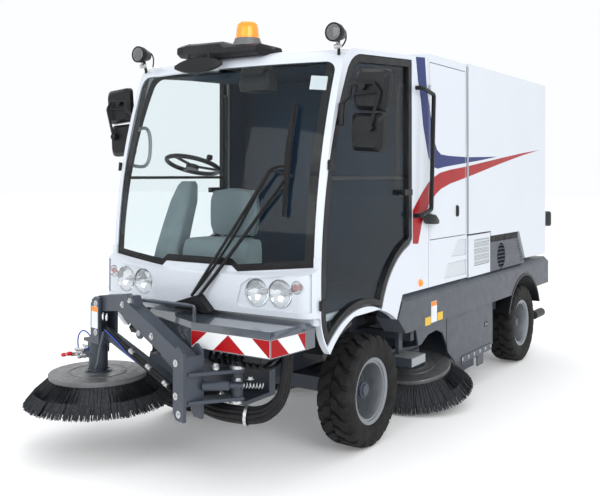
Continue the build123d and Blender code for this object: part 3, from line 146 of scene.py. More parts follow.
# %% A helper for finishes
class Finish:
    """A material with a Principled shader and patterns in the truck's own metres."""

    def __init__(self, name, colour, roughness, metallic=0.0):
        self.material = bpy.data.materials.new(name)
        self.material.use_nodes = True
        self.tree = self.material.node_tree
        self.shader = self.tree.nodes["Principled BSDF"]
        self.shader.inputs["Base Color"].default_value = (*colour, 1)
        self.shader.inputs["Roughness"].default_value = roughness
        self.shader.inputs["Metallic"].default_value = metallic
        self.place = self.tree.nodes.new("ShaderNodeTexCoord").outputs["Object"]
        print("finish:", name)

    def put(self, socket, value):
        """Sets one socket of the shader."""
        self.shader.inputs[socket].default_value = value
        return self

    def noise(self, scale, detail=3.0, roughness=0.5):
        """A noise pattern. scale is in patches for each metre."""
        node = self.tree.nodes.new("ShaderNodeTexNoise")
        node.inputs["Scale"].default_value = scale
        node.inputs["Detail"].default_value = detail
        node.inputs["Roughness"].default_value = roughness
        self.tree.links.new(self.place, node.inputs["Vector"])
        return node.outputs["Fac"]

    def colour_from(self, source, stops):
        """Colours along a pattern: stops are (position, colour)."""
        node = self.tree.nodes.new("ShaderNodeValToRGB")
        for element, (position, colour) in zip(node.color_ramp.elements, stops):
            element.position = position
            element.color = (*colour, 1)
        self.tree.links.new(source, node.inputs["Fac"])
        self.tree.links.new(node.outputs["Color"], self.shader.inputs["Base Color"])
        return self

    def tones(self, stops, *noise):
        """The colour wanders between two tones."""
        return self.colour_from(self.noise(*noise), stops)

    def gloss(self, low, high, *noise):
        """Roughness between two values. Noise mostly lies between 0.3 and 0.7."""
        spread = self.tree.nodes.new("ShaderNodeMapRange")
        for socket, value in zip(("From Min", "From Max", "To Min", "To Max"), (0.3, 0.7, low, high)):
            spread.inputs[socket].default_value = value
        self.tree.links.new(self.noise(*noise), spread.inputs["Value"])
        self.tree.links.new(spread.outputs["Result"], self.shader.inputs["Roughness"])
        return self

    def grain(self, height, strength, *noise):
        """A bumpy surface. height is in metres."""
        return self.bump(self.noise(*noise), height, strength)

    def bump(self, source, height, strength):
        """Tilts the surface's normals along a pattern."""
        node = self.tree.nodes.new("ShaderNodeBump")
        node.inputs["Strength"].default_value = strength
        node.inputs["Distance"].default_value = height
        self.tree.links.new(source, node.inputs["Height"])
        self.tree.links.new(node.outputs["Normal"], self.shader.inputs["Normal"])
        return self


# %% [markdown]
# ## White enamel
# The cab, engine bay and hopper are sprayed with white enamel under a clear coat. Sprayed paint is never
# quite smooth: it has a faint orange peel a few millimetres across. A clear coat over a slightly uneven
# white gives the sharp highlight and the soft body colour at once.

# %% White enamel
white_enamel = Finish("white_enamel", (0.72, 0.76, 0.81), 0.32)
white_enamel.put("Coat Weight", 0.6).put("Coat Roughness", 0.08)
white_enamel.tones([(0.35, (0.625, 0.67, 0.735)), (0.65, (0.64, 0.685, 0.75))], 2.2)
white_enamel.grain(0.0002, 0.25, 260.0)

# %% [markdown]
# ## Slate-grey enamel
# The side rails, skirts, bumper and arm are steel plate in a dark blue-grey. It is duller than the cab and
# picks up road dust, so its roughness changes from place to place.

# %% Slate-grey enamel
slate_enamel = Finish("slate_enamel", (0.050, 0.060, 0.078), 0.42).put("Specular IOR Level", 0.4)
slate_enamel.tones([(0.3, (0.041, 0.051, 0.069)), (0.7, (0.049, 0.060, 0.080))], 2.0, 4.0)
slate_enamel.gloss(0.30, 0.42, 14.0, 5.0)
slate_enamel.grain(0.0002, 0.25, 320.0)

# %% [markdown]
# ## Rubber, black plastic and fibre
# Tyre rubber is nearly black and very rough, with a grey bloom of dust. The black mouldings have a fine
# grain and a soft sheen, and brush fibre is dark plastic whose tone changes from tuft to tuft.

# %% Rubber, plastic and fibre
tyre_rubber = Finish("tyre_rubber", (0.012, 0.012, 0.013), 0.75).put("Specular IOR Level", 0.22)
tyre_rubber.tones([(0.35, (0.008, 0.008, 0.009)), (0.75, (0.022, 0.022, 0.022))], 18.0, 6.0)
tyre_rubber.grain(0.0004, 0.35, 420.0, 4.0)

black_plastic = Finish("black_plastic", (0.008, 0.009, 0.011), 0.42).put("Specular IOR Level", 0.28)
black_plastic.gloss(0.34, 0.52, 9.0, 4.0)
black_plastic.grain(0.0002, 0.3, 900.0, 2.0)

brush_fibre = Finish("brush_fibre", (0.018, 0.020, 0.024), 0.55).put("Specular IOR Level", 0.3)
brush_fibre.tones([(0.3, (0.012, 0.014, 0.018)), (0.7, (0.040, 0.045, 0.052))], 60.0, 4.0)

# %% [markdown]
# ## Bare and plated metal
# The wheels are sprayed silver grey, the ram rods are hard chrome and the engine is cast iron. Polished
# chrome needs almost no roughness, and cast iron is rough from the sand that it was poured in.

# %% Metals
rim_silver = Finish("rim_silver", (0.27, 0.29, 0.31), 0.36, 0.75)
rim_silver.gloss(0.30, 0.48, 20.0, 4.0)
chrome = Finish("chrome", (0.75, 0.76, 0.78), 0.10, 1.0)
chrome.gloss(0.06, 0.16, 30.0, 4.0)
cast_iron = Finish("cast_iron", (0.05, 0.05, 0.052), 0.6, 0.4)
cast_iron.grain(0.0008, 0.5, 120.0, 5.0)

# %% [markdown]
# ## Glass, lenses and cloth
# Cab glass has a faint blue-green tint that only shows against something pale. A thin sheet barely bends
# light, so an index near 1 with a clear coat for the reflection keeps what is behind it in its place.

# %% Glass, lenses and cloth
cab_glass = Finish("cab_glass", (0.90, 0.95, 0.96), 0.02)
cab_glass.put("Transmission Weight", 1.0).put("IOR", 1.05).put("Coat Weight", 0.22).put("Coat Roughness", 0.01)
lamp_glass = Finish("lamp_glass", (0.92, 0.95, 0.97), 0.04)
lamp_glass.put("Transmission Weight", 0.9).put("IOR", 1.3).put("Coat Weight", 1.0)
amber_lens = Finish("amber_lens", (1.0, 0.36, 0.02), 0.12)
amber_lens.put("Transmission Weight", 0.45).put("IOR", 1.35).put("Coat Weight", 0.8)
amber_lens.put("Emission Color", (1.0, 0.33, 0.02, 1)).put("Emission Strength", 0.25)
seat_cloth = Finish("seat_cloth", (0.20, 0.25, 0.27), 0.85)
seat_cloth.grain(0.0005, 0.6, 700.0, 2.0)

# %% [markdown]
# ## Every CAD piece gets its finish
# A factory sprays and fits parts by a list. The model's record says which paint or material each piece
# has, so one table from slot to finish dresses all of them and no piece is forgotten.

# %% Finish by material slot
SLOT_FINISH = {
    "white_paint": white_enamel, "grey_paint": slate_enamel, "tyre_rubber": tyre_rubber,
    "rim_steel": rim_silver, "black_plastic": black_plastic, "tinted_glass": cab_glass,
    "lamp_glass": lamp_glass, "amber_lens": amber_lens, "seat_cloth": seat_cloth,
    "cast_iron": cast_iron, "bright_rod": chrome, "brush_fibre": brush_fibre,
}
for subpart in frame["record"]["subparts"]:
    node_name, slot_name = subpart["node"], subpart["material_slot"]
    cad_piece = nodes[node_name]
    cad_piece.data.materials.clear()
    cad_piece.data.materials.append(SLOT_FINISH[slot_name].material)

# %% [markdown]
# ## A kit for small parts
# A real workshop turns round parts on a lathe, cuts plates from sheet and bends tube. `Shape` does the
# same three things with plain lists of corners: it turns a profile, skins a row of rings, or thickens an
# outline. Lengths go in as millimetres because that is how a drawing of a truck is written.

# %% Directions and outlines
MM = 0.001
X_AXIS, Y_AXIS, Z_AXIS = Vector((1, 0, 0)), Vector((0, 1, 0)), Vector((0, 0, 1))


def directions(axis, sides):
    """Unit directions evenly spaced round an axis."""
    across = axis.orthogonal().normalized()
    other = axis.cross(across)
    turns = [2 * math.pi * i / sides for i in range(sides)]
    return [across * math.cos(t) + other * math.sin(t) for t in turns]


def rounded(middle, along, across, half_along, half_across, corner, steps=5):
    """A rounded rectangle of points round a middle. corner is a share of its smaller half."""
    radius = corner * min(half_along, half_across)
    points = []
    for quarter, (sx, sy) in enumerate(((1, 1), (-1, 1), (-1, -1), (1, -1))):
        for step in range(steps + 1):
            turn = math.pi / 2 * (quarter + step / steps)
            reach = sx * (half_along - radius) + radius * math.cos(turn)
            points.append(Vector(middle) + along * reach
                          + across * (sy * (half_across - radius) + radius * math.sin(turn)))
    return points


def scaled(profile, radius):
    """A profile whose radii are given as shares of one radius."""
    return [(along, share * radius) for along, share in profile]


def upright(x0, x1, z0, z1):
    """An upright rectangle as an (x, z) outline."""
    return [(x0, z0), (x1, z0), (x1, z1), (x0, z1)]


print("four directions round an upright axis:", [way[:] for way in directions(Z_AXIS, 4)])


# %% Turning, skinning and plates
class Shape:
    """Corners, in millimetres, and faces of one piece."""

    def __init__(self):
        self.corners, self.faces = [], []

    def skin(self, rings, ends="capped"):
        """Faces over a row of rings. ends is capped, open, or joined for a ring-shaped body."""
        first, sides, count = len(self.corners), len(rings[0]), len(rings)
        self.corners += [Vector(corner) for ring in rings for corner in ring]
        for r in range(count if ends == "joined" else count - 1):
            here, there = first + r * sides, first + (r + 1) % count * sides
            for i in range(sides):
                j = (i + 1) % sides
                self.faces.append((here + i, here + j, there + j, there + i))
        if ends == "capped":
            last = first + (count - 1) * sides
            self.faces += [tuple(range(first, first + sides))[::-1], tuple(range(last, last + sides))]
        return self

    def turned(self, foot, axis, profile, sides=32, ends="capped"):
        """A turned part. The profile's points are (distance along the axis, radius)."""
        foot, axis = Vector(foot), Vector(axis).normalized()
        ways = directions(axis, sides)
        rings = [[foot + axis * along + way * radius for way in ways] for along, radius in profile]
        return self.skin(rings, ends)

    def plate(self, outline, depth):
        """An outline in space, made solid along depth."""
        depth = Vector(depth)
        return self.skin([outline, [Vector(corner) + depth for corner in outline]])

    def slab(self, x0, x1, y0, y1, z0, z1):
        """A block that lies square to the truck."""
        return self.plate([(x0, y0, z0), (x1, y0, z0), (x1, y1, z0), (x0, y1, z0)], (0, 0, z1 - z0))

    def block(self, x, y, z, size_x, size_y, size_z):
        """A block by the middle of its foot and its sizes."""
        half_x, half_y = size_x / 2, size_y / 2
        return self.slab(x - half_x, x + half_x, y - half_y, y + half_y, z, z + size_z)

    def panel(self, x, y0, y1, z0, z1, thick):
        """A sheet that faces along the truck."""
        return self.plate([(x, y0, z0), (x, y1, z0), (x, y1, z1), (x, y0, z1)], (thick, 0, 0))

    def lofted(self, along, across, stations, corner=0.35):
        """A skin over rounded rectangles. Stations are (x, y, z, half along, half across)."""
        rings = [rounded((x, y, z), along, across, half, other, corner) for x, y, z, half, other in stations]
        return self.skin(rings)

    def strand(self, path, widths, sides=3):
        """A thin tapered rod along a few points, such as a bristle."""
        path = [Vector(p) for p in path]
        rings = []
        for i, (point, width) in enumerate(zip(path, widths)):
            run = (path[min(i + 1, len(path) - 1)] - path[max(i - 1, 0)]).normalized()
            rings.append([point + way * width for way in directions(run, sides)])
        return self.skin(rings)

    def bolt(self, foot, axis, across=17, height=8):
        """A washer and a hexagon head."""
        self.turned(foot, axis, [(-1, across * 0.95), (2, across * 0.95)], 16)
        head = [(1, 0.56), (height * 0.85, 0.56), (height, 0.47)]
        return self.turned(foot, axis, scaled(head, across), 6)

    def mirrored(self):
        """Adds the same shapes on the other side of the truck."""
        first = len(self.corners)
        self.corners += [Vector((c[0], -c[1], c[2])) for c in self.corners]
        self.faces += [tuple(first + i for i in reversed(face)) for face in self.faces]
        return self

    def piece(self, name, finish, body="chassis", slot=None, bevel=0.0, crease=35.0):
        """Makes the mesh, rounds its edges and lets it ride on a body of the truck."""
        mesh = bpy.data.meshes.new(name)
        mesh.from_pydata([c * MM for c in self.corners], [], self.faces)
        work = bmesh.new()
        work.from_mesh(mesh)
        bmesh.ops.recalc_face_normals(work, faces=work.faces)
        if bevel:
            sharp = [edge for edge in work.edges
                     if len(edge.link_faces) == 2 and edge.calc_face_angle() > math.radians(crease)]
            bmesh.ops.bevel(work, geom=sharp, offset=bevel * MM, segments=2, affect="EDGES", clamp_overlap=True)
        work.to_mesh(mesh)
        work.free()
        mesh.polygons.foreach_set("use_smooth", [True] * len(mesh.polygons))
        mesh.set_sharp_from_angle(angle=math.radians(crease))
        mesh.materials.append(finish.material)
        made = placed(name, mesh)
        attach(made, body)
        print(f"{name}: {len(mesh.polygons)} faces on {body}")
        return made


# %% Hoses, and where the CAD pieces are
def hoses(name, routes, radius, finish, body="chassis"):
    """Hoses of one size, each a smooth line through its own few points."""
    line = bpy.data.curves.new(name, "CURVE")
    line.dimensions = "3D"
    line.bevel_depth = radius * MM
    line.bevel_resolution = 3
    line.use_fill_caps = True
    for route in routes:
        spline = line.splines.new("NURBS")
        spline.points.add(len(route) - 1)
        for point, place in zip(spline.points, route):
            point.co = (*(Vector(place) * MM), 1)
        spline.order_u = 3
        spline.use_endpoint_u = True
        spline.resolution_u = 6
    line.materials.append(finish.material)
    made = placed(name, line)
    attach(made, body)
    print(f"{name}: {len(routes)} hoses on {body}")


def corners_of(node):
    """Lowest and highest corner of a CAD node, in millimetres."""
    low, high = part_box(node)
    return Vector(low) / MM, Vector(high) / MM


seat_low, seat_high = corners_of("driver_seat")
print("the driver's seat, length, width and height in mm:", [round(size) for size in seat_high - seat_low])

# %% [markdown]
# ## Film for signs and stripes
# Signs and stripes are cut from coloured film, a little glossier than paint. They could be drawn into the
# panel's own colour, but a thin sheet of film keeps a sharp edge and its real size on any panel.

# %% Film for signs and stripes
def film(name, colour, roughness=0.28):
    """Coloured film for signs and stripes."""
    made = Finish(name, colour, roughness)
    darker = tuple(0.86 * part for part in colour)
    made.tones([(0.3, darker), (0.65, colour)], 6.0, 4.0)
    made.grain(0.0001, 0.2, 500.0, 2.0)
    return made.put("Coat Weight", 0.05).put("Specular IOR Level", 0.15)


blue_film = film("blue_film", (0.010, 0.024, 0.150))
red_film = film("red_film", (0.36, 0.003, 0.006))
sign_red = film("sign_red", (0.36, 0.002, 0.005), 0.4)
sign_white = film("sign_white", (0.80, 0.82, 0.84), 0.4)
orange_film = film("orange_film", (0.85, 0.27, 0.03))
yellow_film = film("yellow_film", (0.80, 0.50, 0.03))

# %% [markdown]
# ## Rubber, plated metal and trim
# Zinc-plated bolts and hose ends are bright but cloudy, so their tone and roughness change over a few
# centimetres. Hoses are matt rubber. Trim inside the cab is dull so that it never dazzles the driver.

# %% Rubber and coloured plastic
black_rubber = Finish("black_rubber", (0.007, 0.007, 0.008), 0.6).put("Specular IOR Level", 0.25)
black_rubber.gloss(0.45, 0.7, 25.0, 4.0)
blue_hose = Finish("blue_hose", (0.01, 0.05, 0.42), 0.32)
blue_hose.gloss(0.25, 0.4, 40.0)
red_cap = Finish("red_cap", (0.62, 0.01, 0.015), 0.35)
red_cap.gloss(0.3, 0.45, 60.0)

# %% Plated, cast and painted metal
zinc = Finish("zinc", (0.56, 0.57, 0.58), 0.32, 0.9)
zinc.tones([(0.3, (0.40, 0.41, 0.43)), (0.7, (0.68, 0.69, 0.70))], 90.0, 5.0)
zinc.gloss(0.22, 0.45, 60.0, 4.0)
rim_dark = Finish("rim_dark", (0.075, 0.083, 0.092), 0.45, 0.5)
rim_dark.gloss(0.38, 0.55, 24.0, 4.0)
slate_gloss = Finish("slate_gloss", (0.055, 0.067, 0.088), 0.16)
slate_gloss.tones([(0.3, (0.050, 0.061, 0.080)), (0.7, (0.060, 0.073, 0.094))], 2.0, 4.0)
slate_gloss.put("Coat Weight", 0.7).put("Coat Roughness", 0.04)
tread_alloy = Finish("tread_alloy", (0.36, 0.38, 0.39), 0.4, 0.7)
tread_alloy.grain(0.002, 0.6, 70.0, 2.0)
mirror_silver = Finish("mirror_silver", (0.86, 0.88, 0.90), 0.05, 1.0)
mirror_silver.gloss(0.03, 0.09, 20.0)
brush_disc = Finish("brush_disc", (0.16, 0.165, 0.17), 0.38, 0.35)
brush_disc.tones([(0.3, (0.125, 0.13, 0.135)), (0.72, (0.19, 0.195, 0.20))], 9.0, 6.0, 0.55)
brush_disc.gloss(0.28, 0.55, 30.0, 6.0)
silver_paint = Finish("silver_paint", (0.42, 0.47, 0.50), 0.42, 0.3)
silver_paint.gloss(0.35, 0.5, 30.0)
cast_grey = Finish("cast_grey", (0.16, 0.165, 0.17), 0.5, 0.5)
cast_grey.grain(0.0004, 0.4, 150.0, 4.0)

# %% Cab trim, the painted shade inside the cab, and the beacon's light
# The cab's inner sheets are very dark blue: painted shade for the inside of the cab.
cab_shade_paint = Finish("cab_shade_paint", (0.022, 0.045, 0.070), 0.75).put("Specular IOR Level", 0.2)
cab_shade_paint.tones([(0.3, (0.008, 0.024, 0.046)), (0.7, (0.012, 0.032, 0.060))], 5.0, 4.0)
trim_grey = Finish("trim_grey", (0.17, 0.22, 0.235), 0.6)
trim_grey.tones([(0.3, (0.145, 0.190, 0.205)), (0.7, (0.195, 0.245, 0.260))], 9.0, 4.0)
beacon_glow = Finish("beacon_glow", (1.0, 0.75, 0.2), 0.4)
beacon_glow.put("Emission Color", (1.0, 0.72, 0.15, 1)).put("Emission Strength", 1.6)
beacon_glow.gloss(0.3, 0.5, 60.0)

# %% [markdown]
# ## Perforated sheet
# The engine's grilles are thin sheet with a hole every 11 millimetres. Cutting thousands of holes would make a
# heavy mesh for little gain, so a square pattern of dark dots with a slight dip draws them. The dots' dark
# colour is painted shade, for the dark seen through each hole.

# %% Perforated sheet
def perforated(name, sheet_colour, hole_shade_colour, pitch):
    """Sheet with a square grid of round holes, pitch metres apart, seen from the side or the front. The holes
    are dots of painted shade.
    """
    made = Finish(name, sheet_colour, 0.45)
    tree = made.tree
    near = tree.nodes.new("ShaderNodeTexVoronoi")
    near.inputs["Scale"].default_value = 1 / pitch
    near.inputs["Randomness"].default_value = 0.0
    tree.links.new(made.place, near.inputs["Vector"])
    # The holes' dark colour is painted shade.
    made.colour_from(near.outputs["Distance"], [(0.36, hole_shade_colour), (0.44, sheet_colour)])
    made.bump(near.outputs["Distance"], 0.001, 0.4)
    return made


white_mesh = perforated("white_mesh", (0.62, 0.66, 0.70), (0.16, 0.18, 0.20), 0.011)

# %% [markdown]
# ## Wheels
# Sweepers run on small, hard-wearing tyres with deep block tread: each half of the tread is a row of big
# blocks with a kinked leading edge, and the two rows are half a block apart. The steel rim has a folded
# lip and a deep dish, with the wheel hub standing in the middle.

# %% Tyres
TYRE_WALL = [
    # (from the middle of the tread, share of the tyre's radius)
    (96, 0.577), (104, 0.604), (111, 0.642), (117, 0.713), (119.4, 0.789), (117.8, 0.816),
    (119.4, 0.832), (116, 0.887), (106, 0.936), (92, 0.953), (50, 0.955),
]
BLOCKS_ROUND = 22
BLOCK_STATIONS = [
    # (from the middle of the tread, top, bottom: shares of the tyre's radius, lead: share of a block's pitch)
    (3, 1.0, 0.93, 0.55), (38, 1.0, 0.93, 0.42), (64, 0.999, 0.93, 0.10), (86, 0.993, 0.92, 0.0),
    (104, 0.972, 0.91, 0.0), (114, 0.925, 0.87, 0.0), (119, 0.880, 0.84, 0.0),
]
BLOCK_SHARE = 0.76
BLOCK_EDGE = 0.012           # how far a block's top edges lean in, in radians


def tyre(node, body):
    """A tyre with two rows of tread blocks in the place of a CAD tyre."""
    low, high = corners_of(node)
    centre, radius = (low + high) / 2, (high.z - low.z) / 2
    out = 1 if centre.y > 0 else -1
    wall = scaled(TYRE_WALL, radius)
    shape = Shape().turned(centre, (0, out, 0), wall + [(-d, r) for d, r in reversed(wall)], 96, "joined")
    pitch = 2 * math.pi / BLOCKS_ROUND
    for half in (-1, 1):
        for number in range(BLOCKS_ROUND):
            start = (number + (0.5 if half < 0 else 0)) * pitch
            rings = []
            for d, top, bottom, lead in BLOCK_STATIONS:
                low_turn = start + lead * pitch
                high_turn = low_turn + BLOCK_SHARE * pitch
                ring = (
                    (low_turn, bottom), (low_turn + BLOCK_EDGE, top), ((low_turn + high_turn) / 2, top),
                    (high_turn - BLOCK_EDGE, top), (high_turn, bottom),
                )
                middle = centre + Y_AXIS * half * d
                rings.append([
                    middle + Vector((math.cos(turn), 0, math.sin(turn))) * reach * radius
                    for turn, reach in ring
                ])
            shape.skin(rings)
    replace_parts(shape.piece(node + "_tread", tyre_rubber, body, "tyre_rubber", crease=28), node)


# %% Rims
RIM_PROFILE = [
    (-40, 160), (-30, 164), (0, 168), (60, 176), (84, 183), (86, 193), (95, 196), (96, 206),
    (101, 212), (101, 217), (98, 219), (88, 212), (60, 209), (-60, 209), (-88, 212), (-98, 218), (-101, 216),
    (-101, 208), (-90, 200), (-60, 196), (-40, 190),
]
DISC_PROFILE = [(-48, 74), (-38, 76), (-36, 120), (-30, 140), (-32, 166), (-42, 170), (-48, 140), (-48, 100)]
HUB_PROFILE = [(-30, 72), (-24, 70), (16, 62), (22, 54), (40, 52), (44, 42), (56, 38), (58, 26)]


def bolt_circle(shape, centre, out, count, radius, stand, across, height, offset=0.0):
    """Bolts round a wheel's axle."""
    for number in range(count):
        turn = 2 * math.pi * (number + offset) / count
        place = Vector((math.cos(turn) * radius, stand * out, math.sin(turn) * radius))
        shape.bolt(centre + place, (0, out, 0), across, height)


def rim(node, body):
    """A dished wheel with its bolts and hub in the place of a CAD rim."""
    low, high = corners_of(node)
    centre = (low + high) / 2
    out = 1 if centre.y > 0 else -1
    axle = Y_AXIS * out
    dish = Shape().turned(centre, axle, RIM_PROFILE, 72, "joined")
    disc = Shape().turned(centre, axle, DISC_PROFILE, 72, "joined")
    hub = Shape().turned(centre, axle, HUB_PROFILE, 40)
    bolt_circle(disc, centre, out, count=8, radius=100, stand=-38, across=27, height=20)
    bolt_circle(hub, centre, out, count=6, radius=47, stand=22, across=12, height=7, offset=0.5)
    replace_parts(dish.piece(node + "_dish", rim_silver, body, "rim_steel"), node)
    disc.piece(node + "_disc", rim_dark, body, "rim_steel")
    hub.piece(node + "_hub", slate_enamel, body, "grey_paint", bevel=1.5)


# %% Four wheels
for corner in ("front_left", "front_right", "rear_left", "rear_right"):
    tyre(f"tyre_{corner}", f"wheel_{corner}")
    rim(f"rim_{corner}", f"wheel_{corner}")

# %% [markdown]
# ## Disc brushes
# A gutter brush is a flat disc with tufts of plastic bristle stapled round its edge, leaning outward. The
# tufts are tight at the disc and fray towards the floor. Each bristle here is its own thin rod with a
# slight bend, and a dark cone behind them stands for the ones too deep to be seen.

# %% How a disc brush is made
DISC_BAND = 34               # height of the disc's edge
TUFTS_ROUND = 92
BRISTLES_IN_TUFT = 13
BRISTLE_ROWS = ((4, 1.0), (16, 0.955))     # (root's distance in from the disc's edge, share of the reach)
BRISTLE_TOP = DISC_BAND - 4
BRISTLE_BOW = 1.035          # how far a bristle's middle bends outward
ROOT_SPREAD, TIP_SPREAD = 0.42, 1.25       # how much of the pitch a tuft fills at the disc and at the floor
HUB_BOLTS, HUB_BOLT_RADIUS = 6, 72


def disc_brush(node, centre, axis, disc_radius, tip_radius, height, seed):
    """A disc, its hub and its bristles. centre is the middle of the disc's top."""
    centre, axis = Vector(centre), Vector(axis).normalized()
    across = axis.orthogonal().normalized()
    other = axis.cross(across)

    def way(turn):
        """The direction from the disc's middle at one turn round it."""
        return across * math.cos(turn) + other * math.sin(turn)

    chance = random.Random(seed)
    bristles = Shape().turned(centre, axis, [
        (-DISC_BAND + 2, disc_radius - 12), (-height * 0.5, (disc_radius + tip_radius) / 2 - 62),
        (-height + 26, tip_radius - 66), (-height + 28, tip_radius - 130),
        (-DISC_BAND - 8, disc_radius - 90), (-DISC_BAND + 2, disc_radius - 90),
    ], 64, "joined")
    for row, (root, reach) in enumerate(BRISTLE_ROWS):
        for tuft in range(TUFTS_ROUND):
            middle = 2 * math.pi * (tuft + 0.5 * row) / TUFTS_ROUND
            for bristle in range(BRISTLES_IN_TUFT):
                spread = chance.uniform(-1, 1) * math.pi / TUFTS_ROUND
                turn = middle + spread * ROOT_SPREAD
                tip_turn = middle + spread * TIP_SPREAD + chance.uniform(-0.006, 0.006)
                start = disc_radius - root - chance.uniform(0, 6)
                end = tip_radius * reach - chance.uniform(1, 16)
                drop = height - chance.uniform(1, 14)
                bristles.strand([
                    centre + way(turn + (tip_turn - turn) * share) * ((start + (end - start) * share) * bow)
                    - axis * (BRISTLE_TOP + (drop - BRISTLE_TOP) * share)
                    for share, bow in ((0.0, 1.0), (0.5, BRISTLE_BOW), (1.0, 1.0))
                ], (2.3, 2.3, 1.6))
    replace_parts(bristles.piece(node + "_bristles", brush_fibre, node, "brush_fibre", crease=60), node)
    Shape().turned(centre, axis, [
        (-DISC_BAND + 4, disc_radius - 60), (-DISC_BAND + 2, disc_radius - 6), (-6, disc_radius - 1),
        (-1, disc_radius - 5), (0, disc_radius - 10), (0, disc_radius * 0.60), (-5, disc_radius * 0.59),
        (-5, disc_radius * 0.565), (0, disc_radius * 0.555), (0, 96), (3, 92), (3, 62), (-12, 60),
    ], 96).piece(node + "_disc", brush_disc, node)
    hub = Shape().turned(centre, axis, [(1, 88), (9, 86), (10, 58), (19, 55), (19, 30)], 40)
    for number in range(HUB_BOLTS):
        hub.bolt(centre + way(2 * math.pi * number / HUB_BOLTS) * HUB_BOLT_RADIUS + axis * 8, axis, 15, 8)
    hub.piece(node + "_hub", slate_enamel, node, "grey_paint", bevel=1)


# %% Three disc brushes
SIDE_TILT = math.radians(14)
SIDE_BRUSH_Y = 623
front_low, front_high = corners_of("front_brush")
motor_x, motor_y = (front_low.x + front_high.x) / 2, (front_low.y + front_high.y) / 2
disc_brush("front_brush", (motor_x, motor_y, 497), Z_AXIS, 321, 477, 199, 5)
for side_name, side, seed in (("left", 1, 6), ("right", -1, 7)):
    tilted = (math.sin(SIDE_TILT), 0, math.cos(SIDE_TILT))
    disc_brush("side_brush_" + side_name, (-1080, side * SIDE_BRUSH_Y, 303), tilted, 281, 439, 200, seed)

# %% [markdown]
# ## The main broom
# Under the hopper a wide roller lifts the dirt that the disc brushes bring in. Its bristles stand in rows
# that wind round the core, so some always touch the road. Each bristle is a thin rod from core to tip, and
# they are all one mesh because they turn together.

# %% Main broom
broom_low, broom_high = corners_of("main_broom")
broom_centre = (broom_low + broom_high) / 2
broom_radius = (broom_high.z - broom_low.z) / 2
broom_half = (broom_high.y - broom_low.y) / 2
BROOM_CORE = 120
BROOM_ROWS = 14
BROOM_TUFTS, BRISTLES_EACH = 110, 3
BROOM_WIND = 0.22            # how far a row winds back from the middle, in turns for the broom's length
chance = random.Random(8)
broom = Shape().turned(broom_centre, Y_AXIS, [(-broom_half, BROOM_CORE), (broom_half, BROOM_CORE)], 40)
for row in range(BROOM_ROWS):
    for tuft in range(BROOM_TUFTS):
        share = tuft / (BROOM_TUFTS - 1)
        y = (2 * share - 1) * (broom_half - 8)
        for bristle in range(BRISTLES_EACH):
            turn = 2 * math.pi * (row / BROOM_ROWS + abs(share - 0.5) * BROOM_WIND)
            turn += chance.uniform(-0.05, 0.05)
            away = Vector((math.cos(turn), 0, math.sin(turn)))
            lean = Vector((-math.sin(turn), chance.uniform(-0.1, 0.1), math.cos(turn)))
            root = Vector((broom_centre.x, y, broom_centre.z)) + away * (BROOM_CORE - 4)
            tip = root + away * (broom_radius - BROOM_CORE) + lean * chance.uniform(-8, 8)
            broom.strand([root, tip], (3.0, 2.0))
bristles = broom.piece("main_broom_bristles", brush_fibre, "main_broom", "brush_fibre", crease=60)
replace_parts(bristles, "main_broom")

# %% [markdown]
# ## Stripes along the side
# Two stripes sweep along each flank: a blue one that drops from the cab's roof and runs back, and a red
# one that climbs from behind the door to a long point on the hopper. They are film stuck on separate
# panels, so each is cut at the panel's edge and moves with the door or the hopper that it is stuck to.

# %% Outlines of the stripes
BLUE_STRIPE = [
    # (x, z) of the outline on the truck's flank
    (-608, 2648), (-641, 2484), (-691, 2342), (-725, 2161), (-811, 1940), (-850, 1888), (-905, 1852),
    (-985, 1840), (-1120, 1856), (-1562, 1892), (-1900, 1921), (-2255, 1955), (-1900, 1946), (-1562, 1938),
    (-1200, 1942), (-1045, 1950), (-972, 1983), (-917, 2057), (-847, 2279), (-794, 2424), (-760, 2660),
]
RED_STRIPE = [
    (-520, 1302), (-640, 1293), (-707, 1449), (-758, 1513), (-845, 1585), (-953, 1650), (-1044, 1686),
    (-1216, 1724), (-1583, 1777), (-2330, 1893), (-2900, 1975), (-3438, 2043), (-2900, 1998), (-2331, 1942),
    (-1562, 1863), (-1216, 1833), (-1026, 1809), (-899, 1771), (-811, 1734), (-707, 1662), (-623, 1598),
    (-520, 1512),
]
print("corners of the blue and the red outline:", len(BLUE_STRIPE), len(RED_STRIPE))

# %% Cutting film at the edge of each panel
FLANK_Y = 868.0
FILM_STAND = 0.5             # how far film stands off the paint
PANELS = {
    # name: (front edge x, rear edge x, body)
    "cab": (-552, -812, "chassis"), "bay_front": (-818, -838, "chassis"), "door": (-848, -1522, "engine_door"),
    "bay_rear": (-1532, -1550, "chassis"), "hopper": (-1602, -3674, "hopper"),
}


def clipped(outline, edge, keep_behind):
    """The part of an (x, z) outline that lies behind, or ahead of, an upright line."""
    kept = []
    for (x0, z0), (x1, z1) in zip(outline, outline[1:] + outline[:1]):
        inside0 = (x0 <= edge) if keep_behind else (x0 >= edge)
        inside1 = (x1 <= edge) if keep_behind else (x1 >= edge)
        if inside0:
            kept.append((x0, z0))
        if inside0 != inside1:
            kept.append((edge, z0 + (z1 - z0) * (edge - x0) / (x1 - x0)))
    return kept


def flank_film(shape, outline, side, stand=FILM_STAND, thick=0.4, flank=FLANK_Y):
    """Film on one flank: side is 1 on the left and -1 on the right."""
    return shape.plate([(x, side * (flank + stand), z) for x, z in outline], (0, side * thick, 0))


# %% Blue and red stripes
STRIPES = (("blue_stripe", BLUE_STRIPE, blue_film), ("red_stripe", RED_STRIPE, red_film))
SIDES = ((1, "left"), (-1, "right"))
for stripe_name, outline, finish in STRIPES:
    for panel, (front, rear, body) in PANELS.items():
        part = clipped(clipped(outline, front, True), rear, False)
        if len(part) < 3:
            continue
        for side, side_name in SIDES:
            rides = f"{body}_{side_name}" if body == "engine_door" else body
            flank_film(Shape(), part, side).piece(f"{stripe_name}_{panel}_{side_name}", finish, rides)

